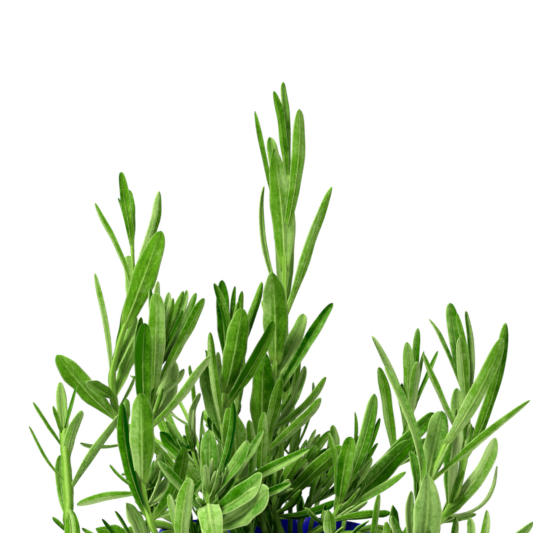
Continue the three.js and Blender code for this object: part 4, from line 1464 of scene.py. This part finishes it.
@dataclass
class Stem:
    """A square stem with rounded corners that swells a little where its leaves leave it."""

    sides: int = 12
    ring_gap: float = 2.6
    squareness: float = 4.0
    fullness: float = 0.88
    swelling: float = 0.2
    swelling_reach: float = 1.6
    woody_height: float = 26.0
    # Painted shade: stems deep in the crowded middle are painted darker, through the number that makes low
    # stems old
    stem_crowd_shade: float = 0.56
    measure_steps: int = 40
    least_rings: int = 12

    def build(self, shoot: ShootPlan, soil_top: float) -> bmesh.types.BMesh:
        """Builds a shoot's stem from a grid that is rolled into a tube along the shoot's route.

        Args:
            shoot: The shoot.
            soil_top: The height of the soil; the stem is older and woodier the nearer it is to it.

        Returns:
            The stem's mesh data.
        """
        bm = bmesh.new()
        route = shoot.route
        steps = [route.point(step / self.measure_steps) for step in range(self.measure_steps + 1)]
        length = sum((after - before).length for before, after in zip(steps, steps[1:]))
        rings = max(self.least_rings, round(length / self.ring_gap))
        bmesh.ops.create_grid(bm, x_segments=self.sides, y_segments=rings, size=1.0)
        chart = bm.loops.layers.uv.new("UVMap")
        for face in bm.faces:
            for loop in face.loops:
                loop[chart].uv = (loop.vert.co.x / 2 + 0.5, loop.vert.co.y / 2 + 0.5)
        age = bm.verts.layers.float.new("age")
        frames = self.frames(shoot, rings, length)
        for vert in bm.verts:
            centre, across, second, radius = frames[round((vert.co.y + 1) / 2 * rings)]
            turn = round((vert.co.x + 1) / 2 * self.sides) % self.sides * TURN / self.sides
            square = sum(abs(part) ** self.squareness for part in (math.cos(turn), math.sin(turn)))
            reach = radius * square ** (-1 / self.squareness)
            vert.co = (centre + (across * math.cos(turn) + second * math.sin(turn)) * reach) * MM
            old = 1 - (centre.z - soil_top) / self.woody_height
            # Painted shade: the number that makes a low stem old is also raised deep in the crowded middle
            vert[age] = min(1.0, max(self.stem_crowd_shade * CROWD.depth(centre), old))
        bmesh.ops.remove_doubles(bm, verts=bm.verts, dist=TINY)
        bmesh.ops.holes_fill(bm, edges=[edge for edge in bm.edges if edge.is_boundary], sides=0)
        bmesh.ops.recalc_face_normals(bm, faces=bm.faces)
        return bm

    def frames(self, shoot: ShootPlan, rings: int, length: float) -> list[tuple]:
        """Works out the stem's frames.

        Args:
            shoot: The shoot.
            rings: How many steps of rings its stem has.
            length: The stem's length.

        Returns:
            For each ring its centre, its two ways across and its half thickness.
        """
        across = Vector((1.0, 0.0, 0.0))
        frames = []
        for ring in range(rings + 1):
            share = ring / rings
            tangent = shoot.route.tangent(share)
            across = (across - tangent * across.dot(tangent)).normalized()
            near = max((math.exp(-((share - leaf.share) * length / self.swelling_reach) ** 2)
                        for leaf in shoot.leaves), default=0.0)
            radius = shoot.radius(share) * self.fullness * (1 + self.swelling * near)
            frames.append((shoot.route.point(share), across, tangent.cross(across), radius))
        return frames


@dataclass
class Shoot:
    """A leafy stem: a piece for its stem and a piece for its leaves, both in place of its node."""

    plan: ShootPlan
    blade: Blade
    stem: Stem
    tufts: Tufts

    def build(self, soil_top: float, leaf_finish: bpy.types.Material,
              stem_finish: bpy.types.Material) -> None:
        """Builds the shoot.

        Args:
            soil_top: The height of the soil.
            leaf_finish: The leaves' material.
            stem_finish: The stem's material.
        """
        draw = random.Random(self.plan.name)
        stem = smooth_object(f"{self.plan.name}_stem", self.stem.build(self.plan, soil_top), stem_finish)
        settle(stem, "foliage", self.plan.node)
        bm = leaf_bmesh()
        for leaf in self.plan.leaves:
            self.blade.add(bm, self.plan, leaf, draw)
        for leaf in self.tufts.grow(self.plan, draw):
            self.tufts.blade.add(bm, self.plan, leaf, draw)
        leaves = smooth_object(f"{self.plan.name}_leaves", bm, leaf_finish)
        settle(leaves, "foliage", self.plan.node)


@dataclass
class Pot:
    """The blue pot: a turned wall with a stepped rim band and six drain holes in its floor."""

    node: str = "pot"
    rim_radius: float = 45.0
    height: float = 80.0
    base_radius: float = 31.0
    shoulder_radius: float = 43.4
    band_foot: float = SOIL_TOP
    band_chamfer: float = 0.6
    wall: float = 1.8
    floor: float = 2.5
    rounding: float = 0.8
    drain_count: int = 6
    drain_radius: float = 3.0
    drain_ring: float = 18.0
    drain_sides: int = 32
    steps: int = 96
    edge_round: float = 0.35
    bevel_segments: int = 3
    corner_angle: float = 18.0
    sharp_angle: float = 40.0

    def wall_radius(self, height: float) -> float:
        """The outer radius of the wall at a height."""
        return self.base_radius + (self.shoulder_radius - self.base_radius) * height / self.height

    def outline(self) -> list[tuple[float, float]]:
        """Works out the wall's outline.

        Returns:
            Its radii and heights from the middle of the underside round to the middle of the floor.
        """
        foot, band = self.rounding, self.band_chamfer
        rim = self.rim_radius
        inner_top = rim - self.wall
        return [
            (0.0, 0.0), (self.base_radius - foot, 0.0), (self.base_radius, foot),
            (self.wall_radius(self.band_foot), self.band_foot),
            (rim - band, self.band_foot + band), (rim, self.height - foot), (rim - foot, self.height),
            (inner_top, self.height), (self.wall_radius(self.band_foot) - self.wall, self.band_foot),
            (self.wall_radius(self.floor) - self.wall, self.floor), (0.0, self.floor),
        ]

    def build(self, finish: bpy.types.Material) -> None:
        """Builds the pot.

        Args:
            finish: Its plastic.
        """
        bm = turned(self.outline(), self.steps)
        bmesh.ops.recalc_face_normals(bm, faces=bm.faces)
        corners = [edge for edge in bm.edges if self.is_corner(edge)]
        bmesh.ops.bevel(bm, geom=corners, offset=self.edge_round * MM, offset_type="OFFSET",
                        affect="EDGES", segments=self.bevel_segments, profile=0.5, material=-1)
        bmesh.ops.recalc_face_normals(bm, faces=bm.faces)
        pot = smooth_object("pot_shell", bm, finish)
        self.drill(pot)
        pot.data.shade_smooth()
        pot.data.set_sharp_from_angle(angle=math.radians(self.sharp_angle))
        settle(pot, "pot_plastic", self.node)

    def is_corner(self, edge: bmesh.types.BMEdge) -> bool:
        """Tells which edges are rounded.

        Args:
            edge: An edge of the turned wall.

        Returns:
            Whether it lies in one of the outline's rings and stands out of its faces.
        """
        first, second = (vert.co for vert in edge.verts)
        flat = abs(first.z - second.z) < TINY and abs(first.xy.length - second.xy.length) < TINY
        return flat and edge.is_manifold and edge.calc_face_angle(0.0) > math.radians(self.corner_angle)

    def drill(self, pot: bpy.types.Object) -> None:
        """Cuts the drain holes through the pot's floor.

        Args:
            pot: The turned pot.
        """
        bm = bmesh.new()
        radius = self.drain_radius * MM
        for index in range(self.drain_count):
            turn = TURN * index / self.drain_count
            x, y = (part * self.drain_ring * MM for part in (math.cos(turn), math.sin(turn)))
            bmesh.ops.create_cone(bm, cap_ends=True, segments=self.drain_sides, radius1=radius,
                                  radius2=radius, depth=4 * self.floor * MM,
                                  matrix=Matrix.Translation((x, y, 0.0)))
        mesh = new_mesh("drills", bm)
        drills = add_object("drills", mesh)
        cut = pot.modifiers.new("drain", "BOOLEAN")
        cut.operation = "DIFFERENCE"
        cut.solver = "EXACT"
        cut.object = drills
        graph = bpy.context.evaluated_depsgraph_get()
        drilled = bpy.data.meshes.new_from_object(pot.evaluated_get(graph))
        pot.modifiers.clear()
        old = pot.data
        pot.data = drilled
        bpy.data.meshes.remove(old)
        bpy.data.objects.remove(drills)
        bpy.data.meshes.remove(mesh)


@dataclass
class Soil:
    """The potting mix: a lumpy surface with loose crumbs, wood chips and white perlite grains."""

    node: str = "soil"
    bottom: float = 2.8
    top: float = SOIL_TOP
    crown: float = 1.2
    edge_drop: float = 1.0
    side_gap: float = 2.4
    rounding: float = 2.0
    rings: int = 26
    steps: int = 96
    lumps: float = 0.9
    wide_lumps: Span = (0.16, 0.6)
    fine_lumps: Span = (0.45, 0.4)
    fine_layer: float = 9.0
    seed: int = 68
    crumbs: int = 520
    crumb_size: Span = (0.5, 1.5)
    crumb_flatness: float = 0.75
    grains: int = 60
    grain_size: Span = (0.5, 1.15)
    grain_flatness: float = 0.85
    size_play: Span = (0.6, 1.0)
    corner_play: Span = (0.75, 1.2)
    width_play: Span = (0.7, 1.2)
    height_play: Span = (0.7, 1.0)
    tilt_play: float = 0.3
    tilt: float = 0.2
    lift: float = 0.25
    chips: int = 70
    chip_length: Span = (2.0, 5.0)
    chip_width: Span = (0.5, 1.2)
    chip_thickness: Span = (0.3, 0.6)
    chip_play: Span = (0.8, 1.1)
    chip_tilt: float = 0.15
    chip_lift: float = 0.5
    spread: float = 0.94

    def radius(self, pot: Pot, height: float) -> float:
        """The soil's radius at a height."""
        return pot.wall_radius(height) - self.side_gap

    def height(self, x: float, y: float, radius: float) -> float:
        """Finds how high the soil's surface lies, in millimetres.

        Args:
            x: The place from left to right.
            y: The place from front to back.
            radius: The soil's radius.

        Returns:
            The surface's height, crowned, lumpy and dropped at the edge.
        """
        share = min(1.0, math.hypot(x, y) / radius)
        (wide, wide_share), (fine, fine_share) = self.wide_lumps, self.fine_lumps
        lump = noise.noise(Vector((x, y, 0.0)) * wide) * wide_share
        lump += noise.noise(Vector((x, y, self.fine_layer)) * fine) * fine_share
        swell = self.lumps * lump * (1 - share ** 6)
        return self.top + self.crown * (1 - share ** 2) - self.edge_drop * share ** 8 + swell

    def build(self, pot: Pot, finishes: dict[str, bpy.types.Material]) -> None:
        """Builds the soil and what lies on it.

        Args:
            pot: The pot that holds it.
            finishes: Materials of the mix, the crumbs, the chips and the perlite, by those names.
        """
        radius = self.radius(pot, self.top)
        edge = self.top - self.rounding
        outline = [(0.0, self.bottom), (self.radius(pot, self.bottom), self.bottom), (radius, edge)]
        outline += [(radius * ring / self.rings, self.top) for ring in range(self.rings, -1, -1)]
        bm = turned(outline, self.steps)
        for vert in bm.verts:
            if vert.co.z > (self.top - self.rounding / 2) * MM:
                vert.co.z = self.height(vert.co.x / MM, vert.co.y / MM, radius) * MM
        bmesh.ops.recalc_face_normals(bm, faces=bm.faces)
        settle(smooth_object("soil_mix", bm, finishes["mix"]), "potting_soil", self.node)
        draw = random.Random(self.seed)
        self.scatter("soil_crumbs", self.crumbs, self.crumb_size, self.crumb_flatness, draw, radius,
                     finishes["crumbs"])
        self.scatter("soil_perlite", self.grains, self.grain_size, self.grain_flatness, draw, radius,
                     finishes["perlite"])
        self.lay_chips(draw, radius, finishes["chips"])

    def spot(self, draw: random.Random, radius: float) -> Vector:
        """Draws a place on the surface.

        Args:
            draw: The row of draws.
            radius: The soil's radius.

        Returns:
            The place in millimetres.
        """
        turn, reach = draw.uniform(0, TURN), math.sqrt(draw.random()) * radius * self.spread
        x, y = reach * math.cos(turn), reach * math.sin(turn)
        return Vector((x, y, self.height(x, y, radius)))

    def scatter(self, name: str, count: int, sizes: Span, flatness: float,
                draw: random.Random, radius: float, finish: bpy.types.Material) -> None:
        """Scatters uneven lumps on the surface.

        Args:
            name: The name of the piece.
            count: How many lumps it has.
            sizes: Their least and largest radius, in millimetres.
            flatness: Their height for their width.
            draw: The row of draws.
            radius: The soil's radius.
            finish: Their material.
        """
        bm = bmesh.new()
        for _ in range(count):
            size = draw.uniform(*sizes) * draw.uniform(*self.size_play)
            lump = bmesh.ops.create_icosphere(bm, subdivisions=1, radius=size * MM)["verts"]
            for vert in lump:
                vert.co *= draw.uniform(*self.corner_play)
            width, height = draw.uniform(*self.width_play), flatness * draw.uniform(*self.height_play)
            bmesh.ops.scale(bm, verts=lump, vec=(1.0, width, height))
            angle, lean = draw.uniform(0, TURN), draw.uniform(-self.tilt_play, self.tilt_play)
            turn = Matrix.Rotation(angle, 3, (lean, self.tilt, 1.0))
            bmesh.ops.rotate(bm, verts=lump, cent=CENTRE, matrix=turn)
            place = self.spot(draw, radius) + Vector((0.0, 0.0, size * self.lift))
            bmesh.ops.translate(bm, verts=lump, vec=place * MM)
        settle(smooth_object(name, bm, finish), "potting_soil", self.node)

    def lay_chips(self, draw: random.Random, radius: float, finish: bpy.types.Material) -> None:
        """Lays thin splinters of bark on the surface.

        Args:
            draw: The row of draws.
            radius: The soil's radius.
            finish: Their material.
        """
        bm = bmesh.new()
        for _ in range(self.chips):
            size = [draw.uniform(*play) for play in (self.chip_length, self.chip_width, self.chip_thickness)]
            chip = bmesh.ops.create_cube(bm, size=MM)["verts"]
            bmesh.ops.scale(bm, verts=chip, vec=size)
            for vert in chip:
                vert.co *= draw.uniform(*self.chip_play)
            turn = Matrix.Rotation(draw.uniform(0, math.pi), 3, "Z")
            tilt = Matrix.Rotation(draw.uniform(-self.chip_tilt, self.chip_tilt), 3, "Y")
            bmesh.ops.rotate(bm, verts=chip, cent=CENTRE, matrix=turn @ tilt)
            place = self.spot(draw, radius) + Vector((0.0, 0.0, self.chip_lift))
            bmesh.ops.translate(bm, verts=chip, vec=place * MM)
        settle(smooth_object("soil_chips", bm, finish), "potting_soil", self.node)


@dataclass(frozen=True)
class Lamp:
    """A soft square lamp: its name, its place and side in metres, and its power in watts."""

    name: str
    place: tuple[float, float, float]
    size: float
    power: float


@dataclass
class Studio:
    """The white room: a floor, a camera where the picture was taken, and soft lamps."""

    floor_radius: float = 0.5
    floor_sides: int = 96
    focal_length: float = 127.7
    sensor: float = 36.0
    nearest: float = 0.01
    aim_height: float = 0.12
    white: float = 1.0
    ambient: float = 0.22
    lamps: tuple[Lamp, ...] = (
        Lamp("key", (-0.6, -0.65, 0.9), 0.3, 17.5),
        Lamp("fill", (0.8, -0.7, 0.45), 0.7, 2.5),
        Lamp("top", (0.1, 0.3, 1.1), 0.5, 10.0),
    )

    def build(self) -> None:
        """Builds the room."""
        bm = bmesh.new()
        bmesh.ops.create_circle(bm, cap_ends=True, segments=self.floor_sides, radius=self.floor_radius)
        floor = smooth_object("studio_floor", bm, FloorFinish().make())
        camera = bpy.data.cameras.new("camera")
        camera.lens = self.focal_length
        camera.sensor_width = self.sensor
        camera.clip_start = self.nearest
        eye = add_object("camera", camera)
        eye.location = (0.0, -VIEW.eye_distance * MM, VIEW.eye_height * MM)
        eye.rotation_euler = (math.pi / 2, 0.0, 0.0)
        bpy.context.scene.camera = eye
        self.light_world()
        for lamp in self.lamps:
            self.hang(lamp)

    def light_world(self) -> None:
        """Fills the room with white light."""
        world = bpy.data.worlds.new("studio_white")
        world.use_nodes = True
        tree = world.node_tree
        back = tree.nodes["Background"]
        back.inputs["Color"].default_value = (1.0, 1.0, 1.0, 1.0)
        seen = tree.nodes.new("ShaderNodeLightPath").outputs["Is Camera Ray"]
        strength = tree.nodes.new("ShaderNodeMapRange")
        strength.inputs["To Min"].default_value = self.ambient
        strength.inputs["To Max"].default_value = self.white
        tree.links.new(seen, strength.inputs["Value"])
        tree.links.new(strength.outputs[0], back.inputs["Strength"])
        bpy.context.scene.world = world
        bpy.context.scene.view_settings.view_transform = "Standard"

    def hang(self, lamp: Lamp) -> None:
        """Hangs a lamp so that it faces the plant.

        Args:
            lamp: The lamp.
        """
        data = bpy.data.lights.new(lamp.name, "AREA")
        data.shape = "SQUARE"
        data.size = lamp.size
        data.energy = lamp.power
        light = add_object(lamp.name, data)
        light.location = lamp.place
        aim = Vector((0.0, 0.0, self.aim_height)) - Vector(lamp.place)
        light.rotation_euler = aim.to_track_quat("-Z", "Y").to_euler()


@dataclass
class Lavender:
    """The whole potted plant."""

    pot: Pot = field(default_factory=Pot)
    soil: Soil = field(default_factory=Soil)
    bed: Bed = field(default_factory=Bed)
    blade: Blade = field(default_factory=Blade)
    stem: Stem = field(default_factory=Stem)
    tufts: Tufts = field(default_factory=Tufts)

    def build(self) -> None:
        """Builds every piece."""
        self.blade.make_blank()
        self.tufts.blade.make_blank()
        leaf_finish, stem_finish = LeafFinish().make(), StemFinish().make()
        for plan in self.bed.plans():
            Shoot(plan, self.blade, self.stem, self.tufts).build(self.soil.top, leaf_finish, stem_finish)
        self.pot.build(PotPlastic().make())
        self.soil.build(self.pot, {
            "mix": SoilFinish().make(),
            "crumbs": SoilFinish("soil_crumbs", paint(44, 32, 24), paint(104, 80, 56)).make(),
            "chips": SoilFinish("bark_chips", paint(70, 48, 32), paint(138, 104, 70), 0.85, 0.0004).make(),
            "perlite": SoilFinish("perlite", paint(206, 204, 196), paint(240, 240, 236), 0.85, 0.0003).make(),
        })


def main() -> None:
    """Builds the plant and the room."""
    logging.basicConfig(level=logging.INFO, format="%(name)s: %(message)s")
    Lavender().build()
    Studio().build()


if __name__ == "__main__":
    main()
